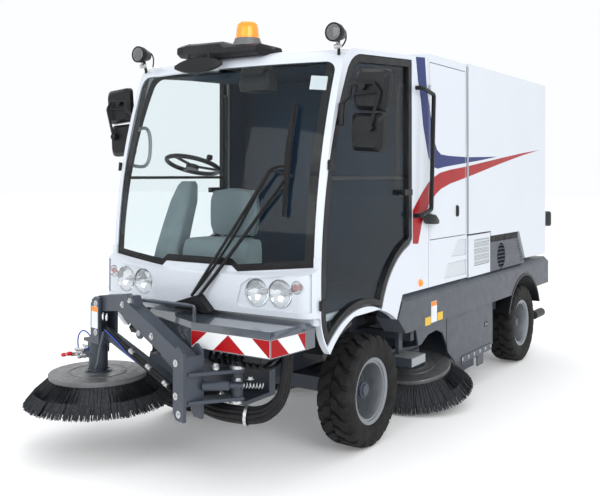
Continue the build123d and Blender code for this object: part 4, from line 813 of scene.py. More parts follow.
# %% [markdown]
# ## Signs and markers
# A board of red and white film across the bumper warns drivers of the wide arm, and its short end turns
# back towards the wheel. The flanks carry small plain plates and an amber marker lamp. All are left blank.

# %% Warning board
BOARD_X = 1150
BOARD_Z = (795, 893)
BOARD_CORNER_Y = 843         # where the board turns back towards the wheel
END_LENGTH = 306
low_z, high_z = BOARD_Z[0] + 1, BOARD_Z[1] - 1
board = Shape().panel(BOARD_X + 1, 279, 842, *BOARD_Z, 1.5)
end_run = Vector((-307, 25, 0)).normalized()
end_out = Vector((end_run.y, -end_run.x, 0))


def on_end(run, z, out=1.0):
    """A place on the board's short end: along it, its height, and how far it stands off."""
    return Vector((BOARD_X, BOARD_CORNER_Y, z)) + end_run * run + end_out * out


board.plate([on_end(run, z) for run, z in upright(3, END_LENGTH, *BOARD_Z)], end_out * 1.5)
board.piece("warning_board", sign_white)
reds = Shape()
for outline in (
    ((280, low_z), (398, high_z), (280, high_z)), ((445, low_z), (672, low_z), (552, high_z)),
    ((721, high_z), (841, high_z), (841, low_z + 4), (837, low_z)),
):
    reds.plate([(BOARD_X + 2.6, y, z) for y, z in outline], (0.6, 0, 0))
for outline in (
    ((4, low_z), (4, high_z), (58, high_z), (158, low_z)), ((236, high_z), (305, high_z), (305, low_z)),
):
    reds.plate([on_end(run, z, 2.6) for run, z in outline], end_out * 0.6)
reds.piece("warning_board_red", sign_red)

# %% Plates and markers
RAIL_Y = 874.0
for name, finish, outline, stand, thick in (
    ("side_plate", sign_white, upright(-846, -948, 690, 847), 0.5, 1.0),
    ("side_plate_band", orange_film, upright(-848, -946, 812, 845), 1.6, 0.5),
):
    flank_film(Shape(), outline, 1, stand, thick, RAIL_Y).piece(name, finish)
yellows = flank_film(Shape(), upright(-742, -838, 682, 742), 1, 0.5, 0.8, RAIL_Y)
flank_film(yellows, upright(-958, -1056, 690, 750), 1, 0.5, 0.8, RAIL_Y).piece("yellow_plates", yellow_film)
MARKER_PROFILE = [(0, 27), (5, 27), (7, 22), (16, 20), (21, 12), (22, 3)]
marker = Shape().turned((-673, FLANK_Y, 1007), Y_AXIS, MARKER_PROFILE, 32)
marker.mirrored().piece("side_markers", amber_lens, slot="amber_lens")

# %% [markdown]
# ## Head lamps
# Each lamp is a bright bowl that throws the light of a small bulb forward, behind a domed glass. From
# outside, the bowl is what shows: it mirrors sky in its top half and ground in its lower half.

# %% Head lamps
LAMP_BACK_X = 730.5
TURN_LAMP_RADIUS = 40
LAMPS_FRONT = [(644, 1083, 88), (475, 1078, 88), (762, 1130, TURN_LAMP_RADIUS)]      # (y, z, radius)
# The profiles' radii are shares of the lamp's radius.
BOWL = [(0.5, 0.2), (2, 0.24), (7, 0.5), (18, 0.78), (34, 0.93), (36, 0.97), (30, 0.985), (0, 0.9)]
BULB = [(0, 0.22), (6, 0.2), (10, 0.13), (30, 0.12), (34, 0.06)]
TURN_BULB = [(0, 0.22), (6, 0.52), (10, 0.338), (30, 0.312), (34, 0.06)]
DOME = [(37, 0.96), (40, 0.965), (46, 0.90), (51, 0.68), (54, 0.35), (54.6, 0.04)]
LAMP_RIM = [(34, 0.955), (43, 0.955), (45, 0.985), (43, 1.0), (34, 1.0)]
bowls, bulbs, turn_bulbs, domes, lamp_rims = Shape(), Shape(), Shape(), Shape(), Shape()
for side in (1, -1):
    for y, z, radius in LAMPS_FRONT:
        foot = (LAMP_BACK_X, side * y, z)
        bowls.turned(foot, X_AXIS, scaled(BOWL, radius), 56, "joined")
        if radius == TURN_LAMP_RADIUS:
            turn_bulbs.turned(foot, X_AXIS, scaled(TURN_BULB, radius), 24)
        else:
            bulbs.turned(foot, X_AXIS, scaled(BULB, radius), 24)
        domes.turned(foot, X_AXIS, scaled(DOME, radius), 56)
        lamp_rims.turned(foot, X_AXIS, scaled(LAMP_RIM, radius), 56, "joined")
bowls.piece("lamp_bowls", mirror_silver, slot="lamp_glass")
bulbs.piece("lamp_bulbs", zinc)
turn_bulbs.piece("turn_bulbs", red_cap)
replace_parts(domes.piece("lamp_domes", lamp_glass, slot="lamp_glass"), "headlamps")
lamp_rims.piece("lamp_rims", chrome)

# %% [markdown]
# ## The windscreen's black border
# Bonded glass has a printed black border that hides the glue. A flat frame would stand off a bowed screen,
# so each point of the border is worked out on the same surface of revolution as the cab's front.

# %% The cab's bowed front
SIDE_LINE = [
    # (z, x) of the cab's front at its flank
    (1196, 672), (1242, 672), (1800, 612), (2504, 413), (2560, 375), (2594, 300),
]
BOW_X = -2620.0
SCREEN_HALF = [
    # (y, z) of one half, from the middle below to the middle above
    (0, 1232), (270, 1230), (314, 1196), (823, 1242), (828, 1800), (826, 2430), (800, 2478), (758, 2500),
    (0, 2500),
]
SCREEN_OUTLINE = SCREEN_HALF + [(-y, z) for y, z in SCREEN_HALF[-2:0:-1]]


def front_x(y, z):
    """How far forward the bowed front of the cab is."""
    for (z0, x0), (z1, x1) in zip(SIDE_LINE, SIDE_LINE[1:]):
        if z <= z1 or z1 == SIDE_LINE[-1][0]:
            side_x = x0 + (x1 - x0) * (z - z0) / (z1 - z0)
            break
    reach = math.hypot(side_x - BOW_X, FLANK_Y)
    return BOW_X + math.sqrt(reach * reach - y * y)


def finely(outline, step):
    """The same outline with no run longer than step."""
    fine = []
    for (y0, z0), (y1, z1) in zip(outline, outline[1:] + outline[:1]):
        parts = max(1, math.ceil(math.hypot(y1 - y0, z1 - z0) / step))
        fine += [(y0 + (y1 - y0) * i / parts, z0 + (z1 - z0) * i / parts) for i in range(parts)]
    return fine


print("the bow at half height, mm:", round(front_x(0, 1800) - front_x(FLANK_Y, 1800)))

# %% Windscreen border
GLASS_IN = 6.0               # the glass lies this far inside the cab's skin
BORDER_SIDE, BORDER_BELOW = 62, 44
LOW_EDGE_Z = 1300            # the screen's lower edge lies below this
side_reach = 823 - BORDER_SIDE
border_out = finely(SCREEN_OUTLINE, 60)
border_in = [
    (max(-side_reach, min(side_reach, y)), z + BORDER_BELOW if z < LOW_EDGE_Z else z)
    for y, z in border_out
]
skin_in = GLASS_IN - 1.2
rings = []
for outline, depth in (
    (border_out, skin_in + 0.8), (border_out, skin_in), (border_in, skin_in), (border_in, skin_in + 0.8),
):
    rings.append([(front_x(y, z) - depth, y, z) for y, z in outline])
Shape().skin(rings, "joined").piece("screen_border", black_rubber, slot="black_plastic")

# %% A blank pass behind the screen
sticker = [(676, 2414), (784, 2404), (784, 2316), (676, 2326)]
sticker_corners = [(front_x(y, z) - GLASS_IN + 1.0, y, z) for y, z in sticker]
Shape().plate(sticker_corners, (0.6, 0, 0)).piece("screen_pass", sign_white)

# %% [markdown]
# ## Inside the cab
# The inside of the cab is drawn as plain thin sheets just inside the steel shell, over the walls, floor and
# roof, because only their colour shows through the glass. Their very dark blue is painted shade: it stands for
# the shade inside the cab.

# %% Sheets of painted shade inside the cab
SHADE_SHEET_X = -766.0
# These sheets carry painted shade, not a real lining colour.
shade_sheets = Shape().panel(SHADE_SHEET_X, -812, 812, 946, 2560, 5)
roof = [(SHADE_SHEET_X + 8, -812, 2552), (200, -812, 2520), (200, 812, 2520), (SHADE_SHEET_X + 8, 812, 2552)]
shade_sheets.plate(roof, (0, 0, 5)).slab(SHADE_SHEET_X + 8, 560, -800, 800, 944, 949)
for side in (1, -1):
    flank_film(shade_sheets, upright(SHADE_SHEET_X + 6, -552, 1000, 2550), side, 0, -4, 808)
shade_sheets.piece("cab_shade_sheets", cab_shade_paint, bevel=1)

# %% [markdown]
# ## The driver's seat
# A seat cushion is cut foam under a sewn cloth cover, so its faces crown and its sides pull in between
# the corners. Each cushion here is a closed form with crowned faces, and a subdivision step rounds it.
# The crown is modelled directly: no simulation is run.

# %% Padded cushions
CUSHION_STEPS = 14
CORNER_SHARE = 0.94          # how much of a cushion's size is left round its corners


def cushion(name, low, high, crown):
    """A crowned cushion between two corners, in millimetres. Its sides pull in between the corners."""
    low, high = Vector(low), Vector(high)
    middle, half = (low + high) / 2, (high - low) / 2
    mesh = bmesh.new()
    made_corners = {}

    def corner(face_axis, side, i, j):
        """A corner of the mesh, by its place on one face of a cube that runs from -1 to 1."""
        unit = [-1 + 2 * i / CUSHION_STEPS, -1 + 2 * j / CUSHION_STEPS]
        swell = max(0, 1 - (unit[0] ** 2 + unit[1] ** 2) / 2)
        unit.insert(face_axis, side)
        key = tuple(unit)
        if key not in made_corners:
            edge = 1 - sorted(abs(share) for share in unit)[1]
            place = Vector([share * size for share, size in zip(unit, half)])
            place[face_axis] *= 1 - crown + crown * swell + 0.04 * edge
            if Vector(unit).length_squared >= 2.4:
                place *= CORNER_SHARE
            made_corners[key] = mesh.verts.new((middle + place) * MM)
        return made_corners[key]

    for face_axis in range(3):
        for side in (-1, 1):
            for i in range(CUSHION_STEPS):
                for j in range(CUSHION_STEPS):
                    steps = ((i, j), (i + 1, j), (i + 1, j + 1), (i, j + 1))
                    mesh.faces.new([corner(face_axis, side, *step) for step in steps])
    bmesh.ops.recalc_face_normals(mesh, faces=mesh.faces)
    data = bpy.data.meshes.new(name)
    mesh.to_mesh(data)
    mesh.free()
    data.materials.append(seat_cloth.material)
    data.polygons.foreach_set("use_smooth", [True] * len(data.polygons))
    made = placed(name, data)
    rounding = made.modifiers.new("round", "SUBSURF")
    rounding.levels = rounding.render_levels = 1
    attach(made, "chassis")
    print(f"{name}: {len(data.polygons)} faces before rounding")


cushion("seat_cushion", (-180, -640, 1222), (264, -200, 1328), 0.30)
cushion("seat_back", (-186, -630, 1326), (-76, -210, 1686), 0.34)

# %% The seat's base
seat_pan = Shape()
for foot_z, top_z, grow in ((944, 960, 20), (960, 1180, 0), (1180, 1224, 26)):
    seat_pan.slab(-160 - grow / 2, 190 + grow, -570 - grow, -270 + grow, foot_z, top_z)
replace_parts(seat_pan.piece("seat_pan", trim_grey, slot="seat_cloth", bevel=8), "driver_seat")

# %% [markdown]
# ## Dash, column and screen
# The driver sits on the right, behind a leaning column that carries the wheel. A low dash fills the
# middle, and a dark bracket hangs a small screen from the roof where both sides can see it. A bent tube
# beside the door gives a hand something to hold on the way in.

# %% Dash and column
column = Shape().lofted(X_AXIS, Y_AXIS, [
    (586, -420, 944, 82, 118), (582, -420, 1150, 80, 116), (560, -420, 1300, 64, 100),
    (500, -420, 1460, 62, 92), (440, -420, 1610, 60, 84), (400, -420, 1720, 44, 62), (390, -420, 1748, 30, 44),
])
column.lofted(X_AXIS, Y_AXIS, [
    (540, 4, 944, 98, 268), (540, 4, 1290, 98, 268), (530, 4, 1350, 86, 262), (520, 4, 1368, 74, 250),
], 0.2)
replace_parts(column.piece("dash_and_column", trim_grey, slot="black_plastic", crease=50), "dashboard")

# %% Hanging screen and entry handle
bracket = Shape().lofted(X_AXIS, Y_AXIS, [
    (405, 180, 2556, 70, 120), (405, 196, 2480, 56, 86), (404, 206, 2420, 42, 60), (404, 210, 2352, 36, 46),
], 0.3)
bracket.lofted(X_AXIS, Y_AXIS, [
    (402, 200, 2490, 20, 70), (402, 200, 2470, 50, 118), (402, 200, 2400, 66, 128), (402, 200, 2350, 62, 118),
    (402, 200, 2341, 40, 80),
], 0.5)
bracket.piece("hanging_screen", black_plastic, slot="black_plastic", crease=50)
HANDLE_Y = -806
handle = [(520, 2112), (440, 2150), (382, 2100), (378, 1960), (404, 1870), (470, 1846), (548, 1860)]
hoses("entry_handle", [[(x, HANDLE_Y, z) for x, z in handle]], 13, silver_paint)

# %% [markdown]
# ## Grilles on the engine bay
# The engine breathes through perforated sheet, painted with the door. Each sheet lies a few millimetres
# inside the face round it, so the edge of the opening shades it.

# %% Engine grilles and intake mesh
GRILLE_IN, INTAKE_IN = 7.0, 5.0
grilles = Shape()
for outline in (
    [(-1240, 1156), (-1370, 1267), (-1533, 1267), (-1533, 1144)],
    [(-1106, 996), (-1179, 1098), (-1533, 1101), (-1533, 989)],
):
    flank_film(grilles, outline, 1, -GRILLE_IN, 1.0)
grilles.mirrored().piece("engine_grilles", white_mesh)
intake_y = corners_of("intake_housing")[1].y
intake = flank_film(Shape(), upright(-1724, -2069, 1032, 1248), 1, -INTAKE_IN, 1.5, intake_y)
intake.mirrored().piece("intake_mesh", white_mesh)

# %% [markdown]
# ## Rubber seals, and painted shade in gaps and seams
# The hopper tips, so it is never bolted tight to what it rests on. Black rubber strips close the joint under
# it. The black sheet in the gap in front of it is painted shade, and thin black strips on the skirt paint the
# shade in the seams between its panels and under the rail's edge.

# %% Seals, and painted shade in gaps and seams
SKIRT_Y = 845
seal = Shape()
for x0, x1 in ((-2121, -2478), (-2482, -2834)):
    flank_film(seal, upright(x0, x1, 1199, 1254), 1, -42, 30)
seal.mirrored().piece("hopper_seal", black_rubber, bevel=2)
# A black sheet in the gap in front of the hopper: painted shade in that gap.
Shape().panel(-1556, 820, 852, 1312, 2690, -40).mirrored().piece("hopper_gap_shade", black_rubber)
# Thin black strips: painted shade along the rail's lower edge and in the seams between the skirt's panels.
seam_shade = Shape()
for x0, x1, z0, z1 in ((-440, -2200, 672, 677), (-1196, -1200, 302, 672), (-2196, -2200, 302, 672)):
    flank_film(seam_shade, upright(x0, x1, z0, z1), 1, 0, 1.0, SKIRT_Y)
seam_shade.mirrored().piece("skirt_seam_shade", black_rubber)

# %% [markdown]
# ## Screws, latches and flank lamps
# What a fitter opens often has a latch, and what stays shut has screws. Small zinc screws hold the strip
# along the skirt's foot, an oval paddle opens each engine door, and a lamp in a black pod stands behind the
# cab door. Screws and latches on the two flanks are the same, so they are made once and mirrored.

# %% Screws, latches and flank lamps
SCREWS, SCREW_PITCH = 6, 126
skirt_screws = Shape()
for number in range(SCREWS):
    skirt_screws.bolt((-1500 - number * SCREW_PITCH, 850, 294), Y_AXIS, 16, 6)
for x in (-2020, -2052):
    skirt_screws.bolt((x, SKIRT_Y, 498), Y_AXIS, 10, 5)
skirt_screws.mirrored().piece("skirt_screws", zinc)
latches = flank_film(Shape(), upright(-1998, -2076, 478, 518), 1, -1, 2.0, SKIRT_Y)
latches.mirrored().piece("skirt_latches", black_plastic, bevel=1.5)
flank_lamps = Shape().lofted(Z_AXIS, Y_AXIS, [
    (-664, 880, 1488, 10, 12), (-700, 888, 1487, 14, 16), (-742, 896, 1472, 38, 26), (-840, 900, 1462, 36, 26),
    (-906, 898, 1444, 18, 18),
], 0.6)
flank_lamps.mirrored().piece("flank_lamps", black_plastic, slot="black_plastic", crease=50)
PADDLE = [(867, 46, 22), (874, 46, 22), (880, 38, 16)]      # (y, half height, half length)
for side, side_name in SIDES:
    stations = [(-1354, side * y, 1506, half_z, half_x) for y, half_z, half_x in PADDLE]
    latch = Shape().lofted(Z_AXIS, X_AXIS, stations, 0.9)
    door = "engine_door_" + side_name
    latch.piece("engine_door_latch_" + side_name, black_plastic, door, "black_plastic", crease=50)

# %% [markdown]
# ## Step treads
# A step for muddy boots needs grip. Its top and its front edge are alloy sheet, and raised bars run along
# the top so that mud and water fall between them.

# %% Step treads
STEP_TOP, STEP_UNDER = 480, 422
TREAD_Y = (670, 866)
BARS, BAR_PITCH, BAR_WIDTH = 9, 21, 7
step_low, step_high = corners_of("side_steps")
step_rear, step_front = step_low.x + 4, step_high.x - 4
treads = Shape().slab(step_rear, step_front, *TREAD_Y, STEP_TOP - 1, STEP_TOP + 3)
flank_film(treads, upright(step_rear, step_front, STEP_UNDER, STEP_TOP + 2), 1, 1, 4, TREAD_Y[1])
for number in range(BARS):
    y = TREAD_Y[0] + 12 + number * BAR_PITCH
    treads.slab(step_rear + 4, step_front - 4, y, y + BAR_WIDTH, STEP_TOP + 2, STEP_TOP + 5)
treads.mirrored().piece("step_treads", tread_alloy, bevel=0.8)

# %% [markdown]
# ## Bumper paint and the wiper
# The bumper gets the same grey as the frame in a harder, glossier coat, because stones reach it first.
# One long blade clears the screen: two arms side by side keep it upright while it sweeps, and it is
# deepest in its middle, where the arm presses on it.

# %% Bumper paint and wiper
nodes["front_bumper"].data.materials.clear()
nodes["front_bumper"].data.materials.append(slate_gloss.material)
wiper_blade = Shape().strand([
    (736, 638, 1540), (700, 637, 1740), (684, 637, 1905), (650, 636, 2080), (606, 635, 2240),
], (9, 17, 24, 17, 6), 8)
wiper_blade.piece("wiper_blade", black_rubber, slot="black_plastic", crease=50)
hoses("wiper_arms", [
    [(845, 9, 1030), (800, 210, 1260), (728, 535, 1822), (716, 560, 1840), (700, 637, 1850)],
    [(845, 67, 1030), (800, 260, 1260), (714, 633, 1762)],
], 9, black_rubber)

# %% [markdown]
# ## The roof pod and the kerb mirror
# A moulded pod across the roof's front edge carries the beacon. An eye-shaped mirror hangs from it on two
# short stems, so that the driver can see the kerb in front of the bumper.

# %% Roof pod and kerb mirror
POD_STATIONS = [
    # (y, rear x, front x, lower z, upper z)
    (-352, 500, 590, 2598, 2664), (-340, 470, 600, 2592, 2676), (-262, 440, 602, 2592, 2684),
    (-250, 380, 594, 2580, 2684), (20, 350, 590, 2576, 2678), (52, 336, 586, 2574, 2650),
    (300, 310, 560, 2574, 2646), (330, 308, 470, 2574, 2636), (352, 320, 440, 2574, 2628),
]
pod = Shape().skin([
    [(x0, y, z0), (x0 + 26, y, z1), (x1 - 40, y, z1), (x1, y, z1 - 20), (x1, y, z0 + 22), (x1 - 34, y, z0)]
    for y, x0, x1, z0, z1 in POD_STATIONS
])
MIRROR_STEPS, MIRROR_Y, MIRROR_HALF = 14, -151, 210
mirror_rings = []
for step in range(MIRROR_STEPS + 1):
    share = -1 + 2 * step / MIRROR_STEPS
    swell = max(0.08, 1 - abs(share) ** 2.2) ** 0.6
    middle = (604, MIRROR_Y + share * MIRROR_HALF, 2526)
    mirror_rings.append(rounded(middle, X_AXIS, Z_AXIS, 19 * swell, 51 * swell, 0.98, 6))
pod.skin(mirror_rings)
for y in (-236, -60):
    pod.turned((600, y, 2560), (-0.1, 0, 1), [(0, 22), (16, 12), (44, 12)], 20)
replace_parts(pod.piece("roof_pod", black_plastic, slot="black_plastic", bevel=3, crease=40), "roof_housing")

# %% [markdown]
# ## The beacon
# A beacon is an amber dome over a small bright lamp and a turning mirror, on a metal collar. Seen against
# the light the dome is brightest low down, where the lamp is.

# %% Beacon
beacon_low, beacon_high = corners_of("beacon")
dome_height, dome_radius = beacon_high.z - beacon_low.z, (beacon_high.x - beacon_low.x) / 2
foot = Vector(((beacon_low.x + beacon_high.x) / 2, (beacon_low.y + beacon_high.y) / 2, beacon_low.z))
dome = Shape().turned(foot, Z_AXIS, scaled([
    # Up the outside of the dome, then down its inside.
    (0.5, 0.985), (dome_height * 0.5, 0.93), (dome_height * 0.80, 0.87), (dome_height * 0.93, 0.72),
    (dome_height * 0.985, 0.45), (dome_height - 0.5, 0.12), (dome_height - 4, 0.10), (dome_height * 0.93, 0.42),
    (dome_height * 0.86, 0.68), (dome_height * 0.76, 0.81), (dome_height * 0.5, 0.87), (0.5, 0.92),
], dome_radius), 64, "joined")
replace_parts(dome.piece("beacon_dome", amber_lens, slot="amber_lens"), "beacon")
inside = Shape().turned(foot, Z_AXIS, [(1, 52), (6, 50), (8, 22), (40, 18), (62, 16), (74, 8)], 32)
MIRROR_FINS, FIN_PITCH = 6, 12
for fin in range(MIRROR_FINS):
    inside.turned(foot + Z_AXIS * (22 + fin * FIN_PITCH), (0.25, 0.1, 1), [(0, 36), (4, 42), (8, 36)], 24)
inside.piece("beacon_lamp", beacon_glow)
collar = Shape().turned(foot, Z_AXIS, [
    (-52, 100.5), (-40, 99), (-8, dome_radius + 5), (-1, dome_radius + 5), (-1, dome_radius * 0.5),
], 64)
collar.piece("beacon_collar", cast_grey)

# %% [markdown]
# ## Roof work lamps
# A round work lamp at each front corner of the roof lights the road ahead of the brushes. A rubber rim holds
# its lens, a clamp lets it turn, and a loop of cable leaves slack for aiming it.

# %% Roof work lamps
WORK_LAMP_Y, WORK_LAMP_Z = 835, 2672
lenses, lamp_guards, lamp_clamps, lamp_wires = Shape(), Shape(), Shape(), []
for side in (1, -1):
    y = side * WORK_LAMP_Y
    guard_profile = [(0, 59.5), (14, 59.5), (14, 54), (12, 50), (0, 50)]
    lenses.turned((477, y, WORK_LAMP_Z), X_AXIS, [(0, 53), (4, 52), (8, 40), (10, 18)], 40)
    lamp_guards.turned((470, y, WORK_LAMP_Z), X_AXIS, guard_profile, 40, "joined")
    lamp_clamps.bolt((428, y, 2600), (0, side, 0), 22, 12)
    lamp_clamps.turned((428, y - side * 22, 2590), (0, side, 0), [(0, 15), (44, 15)], 20)
    lamp_wires.append([
        (392, y, 2690), (352, y, 2706), (318, y, 2668), (330, y - side * 10, 2618), (352, y - side * 26, 2592),
    ])
lenses.piece("work_lamp_glass", lamp_glass)
lamp_guards.piece("work_lamp_rims", black_rubber)
lamp_clamps.piece("work_lamp_clamps", zinc, bevel=1)
hoses("work_lamp_wires", lamp_wires, 5, black_rubber)

# %% [markdown]
# ## Pins of the front arm
# Two parallel bars keep the brush level while a ram between them lifts it, and every joint turns on a
# plated pin held by a bolt. The arm stands askew, so places on it are given by the reach along it.

# %% Arm pins and bolts
ARM_HEADING = math.radians(-104.13)
arm_foot = Vector((1250, 328, 0))
arm_along = Vector((math.cos(ARM_HEADING), math.sin(ARM_HEADING), 0))
arm_across = Vector((arm_along.y, -arm_along.x, 0))


def on_arm(reach, z, side=0.0):
    """A place by reach along the front arm, height, and distance to its side."""
    return arm_foot + arm_along * reach + arm_across * side + Z_AXIS * z


def cheek_bolts(shape, places, stand, across, height):
    """A bolt on both cheeks of the arm at each (reach, height)."""
    for reach, z in places:
        for side in (-1, 1):
            shape.bolt(on_arm(reach, z, side * stand), arm_across * side, across, height)


def pins(name, places, body, stand=70.5, across=24):
    """Plated pin ends with a bolt, on both cheeks of the arm."""
    shape = Shape()
    for reach, z in places:
        for side in (-1, 1):
            pin_end = [(-2, across * 0.9), (4, across * 0.9), (6, across * 0.8)]
            shape.turned(on_arm(reach, z, side * stand), arm_across * side, pin_end, 24)
    cheek_bolts(shape, places, stand + 5, 15, 9)
    shape.piece(name, zinc, body, bevel=0.8)


pins("post_pins", [(0, 735), (0, 550), (-30, 455)], "arm_bracket")
pins("head_pins", [(930, 960), (930, 775)], "arm_head")
pins("beam_pins", [(442, 837)], "arm_beam", 45, 20)
beam_bolts = Shape()
cheek_bolts(beam_bolts, [(575, 1008)], 30, 26, 12)
cheek_bolts(beam_bolts, [(640, 985), (300, 838)], 44, 22, 12)
beam_bolts.piece("beam_bolts", zinc, "arm_beam", bevel=0.8)

# %% [markdown]
# ## On the brush head
# The brush motor carries its own valve block, so that only a few hoses have to follow the arm. Hexagon
# fittings screw into the block, and red caps close the taps that only a fitter opens. A bent strap guards
# the hoses where they reach the head.

# %% Plates on the brush head
for name, finish, outline, side, thick in (
    ("head_plate", sign_white, upright(906, 988, 800, 940), -71, 1.2),
    ("head_plate_band", orange_film, upright(908, 986, 908, 938), -72.4, 0.6),
):
    sheet = Shape().plate([on_arm(reach, z, side) for reach, z in outline], arm_across * -thick)
    sheet.piece(name, finish, "arm_head")

# %% Motor valve, fittings and air lines
def at_motor(x, y, z):
    """A place by its distance from the brush motor's axis, and its height."""
    return Vector((motor_x + x, motor_y + y, z))


valve = Shape()
for x, y, z, size_x, size_y, size_z in (
    (20, -66, 588, 62, 74, 52), (-66, -20, 612, 50, 60, 60), (-20, -40, 640, 80, 90, 46),
):
    valve.block(motor_x + x, motor_y + y, z, size_x, size_y, size_z)
valve.piece("motor_valve", slate_enamel, "arm_head", "grey_paint", bevel=4)
fittings = Shape()
for place, way in (
    ((40, -100, 610), (0.5, -0.8, 0.1)), ((66, -84, 640), (0.85, -0.5, 0.15)),
    ((84, -40, 606), (0.95, -0.2, 0)), ((-10, -108, 636), (0.1, -1, 0.3)),
):
    fittings.turned(at_motor(*place), way, [(-10, 13), (6, 13), (7, 9), (18, 9)], 6)
    fittings.turned(at_motor(*place), way, [(17, 11), (42, 11), (44, 8), (50, 8)], 20)
TAP_WAY = (0.4, -1, -0.15)
fittings.turned(at_motor(30, -150, 600), TAP_WAY, [(0, 14), (60, 14)], 6)
fittings.turned(at_motor(40, -216, 590), TAP_WAY, [(0, 9), (40, 9)], 20)
fittings.piece("motor_fittings", zinc, "arm_head", bevel=0.6)
caps = Shape().turned(at_motor(56, -256, 584), TAP_WAY, [(0, 12), (18, 14), (30, 10)], 20)
caps.turned(at_motor(70, -180, 604), (1, -0.3, 0), [(0, 12), (20, 15), (34, 11)], 20)
caps.piece("tap_caps", red_cap, "arm_head")
AIR_ROUTES = (
    ((26, -160, 612), (20, -190, 690), (10, -150, 760), (10, -70, 735), (6, -40, 680)),
    ((34, -110, 616), (60, -40, 650), (50, 20, 690), (20, 60, 700)),
)
air_lines = [[at_motor(*place) for place in route] for route in AIR_ROUTES]
hoses("head_air_lines", air_lines, 4.5, blue_hose, "arm_head")

# %% Brush guard
guard = Shape()
guard_path = [on_arm(830, 790, -60), on_arm(812, 700, -96), on_arm(812, 600, -112), on_arm(842, 560, -112)]
wide, thick = arm_across * 6, arm_along * 26
for ends in zip(guard_path, guard_path[1:]):
    guard.skin([[end - wide, end + wide, end + wide + thick, end - wide + thick] for end in ends])
guard.piece("brush_guard", slate_enamel, "arm_link", "grey_paint", bevel=1.5)

# %% [markdown]
# ## Hoses along the arm
# Oil reaches the brush motor through black hoses that lie along the lower bar and end in crimped zinc
# fittings. A thin blue air line works its valve, and two turnbuckles hang from the beam.

# %% Hoses along the arm
LINK_ROUTE = [
    # (reach, height, distance to the side of the hose's own line)
    (826, 786, 0), (750, 768, -12), (560, 700, -10), (360, 640, -6), (200, 590, -4), (90, 560, 0),
]
hoses("link_hoses", [
    [on_arm(reach, z + lift, side + aside) for reach, z, aside in LINK_ROUTE]
    for side, lift in ((-36, 0), (-50, 14), (-44, 32))
], 11, black_rubber, "arm_link")
LINK_AIR_ROUTE = [(834, 802, -58), (756, 786, -68), (640, 748, -70), (520, 690, -66), (440, 668, -60)]
hoses("link_air_lines", [[on_arm(*place) for place in LINK_AIR_ROUTE]], 4.5, blue_hose, "arm_link")

# %% Hose ends and turnbuckles
link_fittings = Shape()
for reach, z, side in ((520, 724, -60), (330, 664, -58), (150, 600, -56)):
    foot = on_arm(reach, z, side)
    way = on_arm(reach - 100, z - 32, side) - foot
    link_fittings.turned(foot, way, [(0, 9), (4, 15), (26, 15), (28, 10), (34, 10)], 20)
    link_fittings.turned(foot, way, [(34, 15), (50, 15)], 6)
link_fittings.piece("link_fittings", zinc, "arm_link", bevel=0.6)
turnbuckles = Shape()
for reach in (800, 846):
    turnbuckles.strand([on_arm(reach, 912, -62), on_arm(reach - 2, 866, -66)], (5, 5), 10)
    turnbuckles.turned(on_arm(reach, 902, -63), (0, 0, -1), [(0, 9), (28, 9)], 8)
turnbuckles.piece("turnbuckles", chrome, "arm_beam")

# %% [markdown]
# ## Under the bumper
# The swinging post carries levers, a return spring and a cushion ram. A thick loop of hoses hangs under
# it with enough slack for the arm to swing out, tied together by a bright clamp.

# %% Swing gear
gear = Shape()
for x, y, z, radius, height in ((1050, 538, 686, 44, 22), (1050, 538, 488, 40, 20), (1160, 470, 690, 22, 20)):
    gear.turned((x, y, z), Z_AXIS, [(0, radius), (height - 4, radius), (height, radius - 4)], 32)
for place in ((1050, 538, 712), (1160, 470, 712), (1120, 600, 640), (1060, 640, 640)):
    gear.bolt(place, Z_AXIS, 26, 14)
gear.piece("swing_caps", zinc, "arm_bracket", bevel=1)
ram_profile = [(0, 24), (8, 27), (150, 27), (152, 22), (156, 14), (230, 14)]
ram = Shape().turned((1216, 420, 600), (-0.55, 0.83, 0.03), ram_profile, 28)
ram.piece("swing_ram", slate_enamel, "arm_bracket", "grey_paint")
SPRING_POINTS = 120
SPRING_TURN = 0.6            # radians from one point of the wire to the next
spring = []
for number in range(SPRING_POINTS):
    turn = number * SPRING_TURN
    # The wire's two ends come in to the middle of the coil.
    wide_x, wide_y, tall = (0, 0, 13) if number in (0, SPRING_POINTS - 1) else (6, 8, 15)
    spring.append((
        1120 - number * 0.9 + math.cos(turn) * wide_x, 520 + number * 1.5 + math.cos(turn) * wide_y,
        600 + math.sin(turn) * tall,
    ))
hoses("swing_spring", [spring], 3.2, zinc, "arm_bracket")

# %% Hose loop and its clamp
LOOP_ROUTE = [
    (872, 764, 766), (884, 770, 640), (930, 770, 520), (985, 720, 446), (1030, 640, 425), (1060, 540, 424),
    (1066, 430, 424), (1052, 310, 432), (1016, 200, 460), (970, 120, 540), (944, 80, 650),
]
LOOP_HOSES, LOOP_RADIUS = 9, 36
loop = []
for number in range(LOOP_HOSES):
    turn = 2 * math.pi * number / LOOP_HOSES
    aside = Vector((math.cos(turn), 0, math.sin(turn))) * LOOP_RADIUS
    loop.append([Vector(place) + aside for place in LOOP_ROUTE])
hoses("hose_loop", loop, 15, black_rubber)
clamp = Shape().turned((1046, 606, 424), (-34, 96, -4), [(-9, 57), (9, 57), (9, 55), (-9, 55)], 40, "joined")
clamp.piece("hose_clamp", zinc)

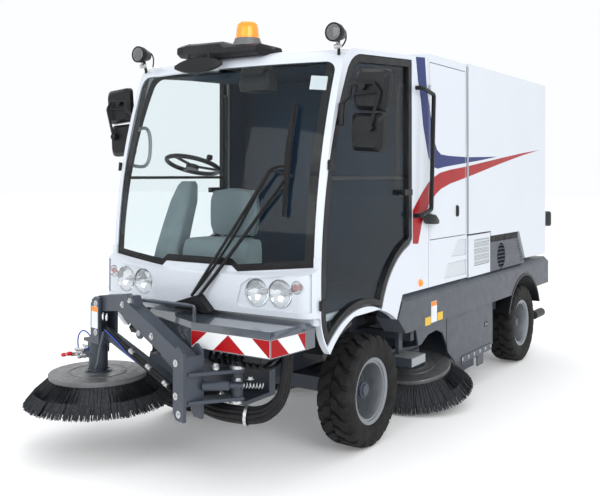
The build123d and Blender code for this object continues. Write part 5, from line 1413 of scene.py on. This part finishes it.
# %% [markdown]
# ## The valve bank
# The valves that steer oil to the arm and the brushes stand in one bank under the bumper, where all their
# hoses meet. Each hose turns back below its fitting, so water drips off it and not into the joint.

# %% Valve bank under the bumper
BANK_TOP = 788
BANK_WAY = (1, 0.1, -0.15)
bank = Shape()
for x, y, z, size_x, size_y in (
    (960, 420, 742, 120, 160), (960, 640, 742, 120, 200), (1086, 700, 748, 70, 120),
):
    bank.block(x, y, z, size_x, size_y, BANK_TOP - z)
bank.piece("valve_bank", black_plastic, slot="black_plastic", bevel=3)
BANK_FITTINGS, FITTING_PITCH = 7, 58
bank_fittings = Shape()
for number in range(BANK_FITTINGS):
    foot = (1022, 360 + number * FITTING_PITCH, 764)
    bank_fittings.turned(foot, BANK_WAY, [(-2, 11), (8, 11)], 6)
    bank_fittings.turned(foot, BANK_WAY, [(8, 9), (34, 9), (36, 6)], 16)
bank_fittings.piece("bank_fittings", zinc)
BANK_HOSES, HOSE_PITCH = 9, 46
BANK_ROUTE = [
    (1052, 350, 760), (1084, 360, 740), (1092, 368, 716), (1040, 374, 700), (960, 370, 704), (900, 358, 716),
    (850, 350, 730),
]
bank_hoses = [[(x, y + number * HOSE_PITCH, z) for x, y, z in BANK_ROUTE] for number in range(BANK_HOSES)]
hoses("bank_hoses", bank_hoses, 10, black_rubber)

# %% [markdown]
# ## The rear corner
# A black work lamp looks back from each corner of the hopper, and the engine's exhaust leaves low behind
# the rear wheel. The lamp's body is a skin over four rounded outlines, as a moulded housing is drawn.

# %% Rear lamps and tail pipe
rear_lamps = Shape().lofted(Z_AXIS, Y_AXIS, [
    (-3676, 838, 1330, 46, 26), (-3720, 838, 1330, 66, 40), (-3790, 838, 1334, 78, 50),
    (-3796, 838, 1334, 70, 44),
], 0.5)
rear_lamps.mirrored().piece("rear_work_lamps", black_plastic, "hopper", slot="black_plastic", crease=50)
pipe = Shape().turned((-3470, 800, 365), (-1, 0, 0), [(0, 42), (250, 42), (252, 40), (252, 37), (236, 36)], 40)
pipe.piece("tail_pipe", cast_iron)
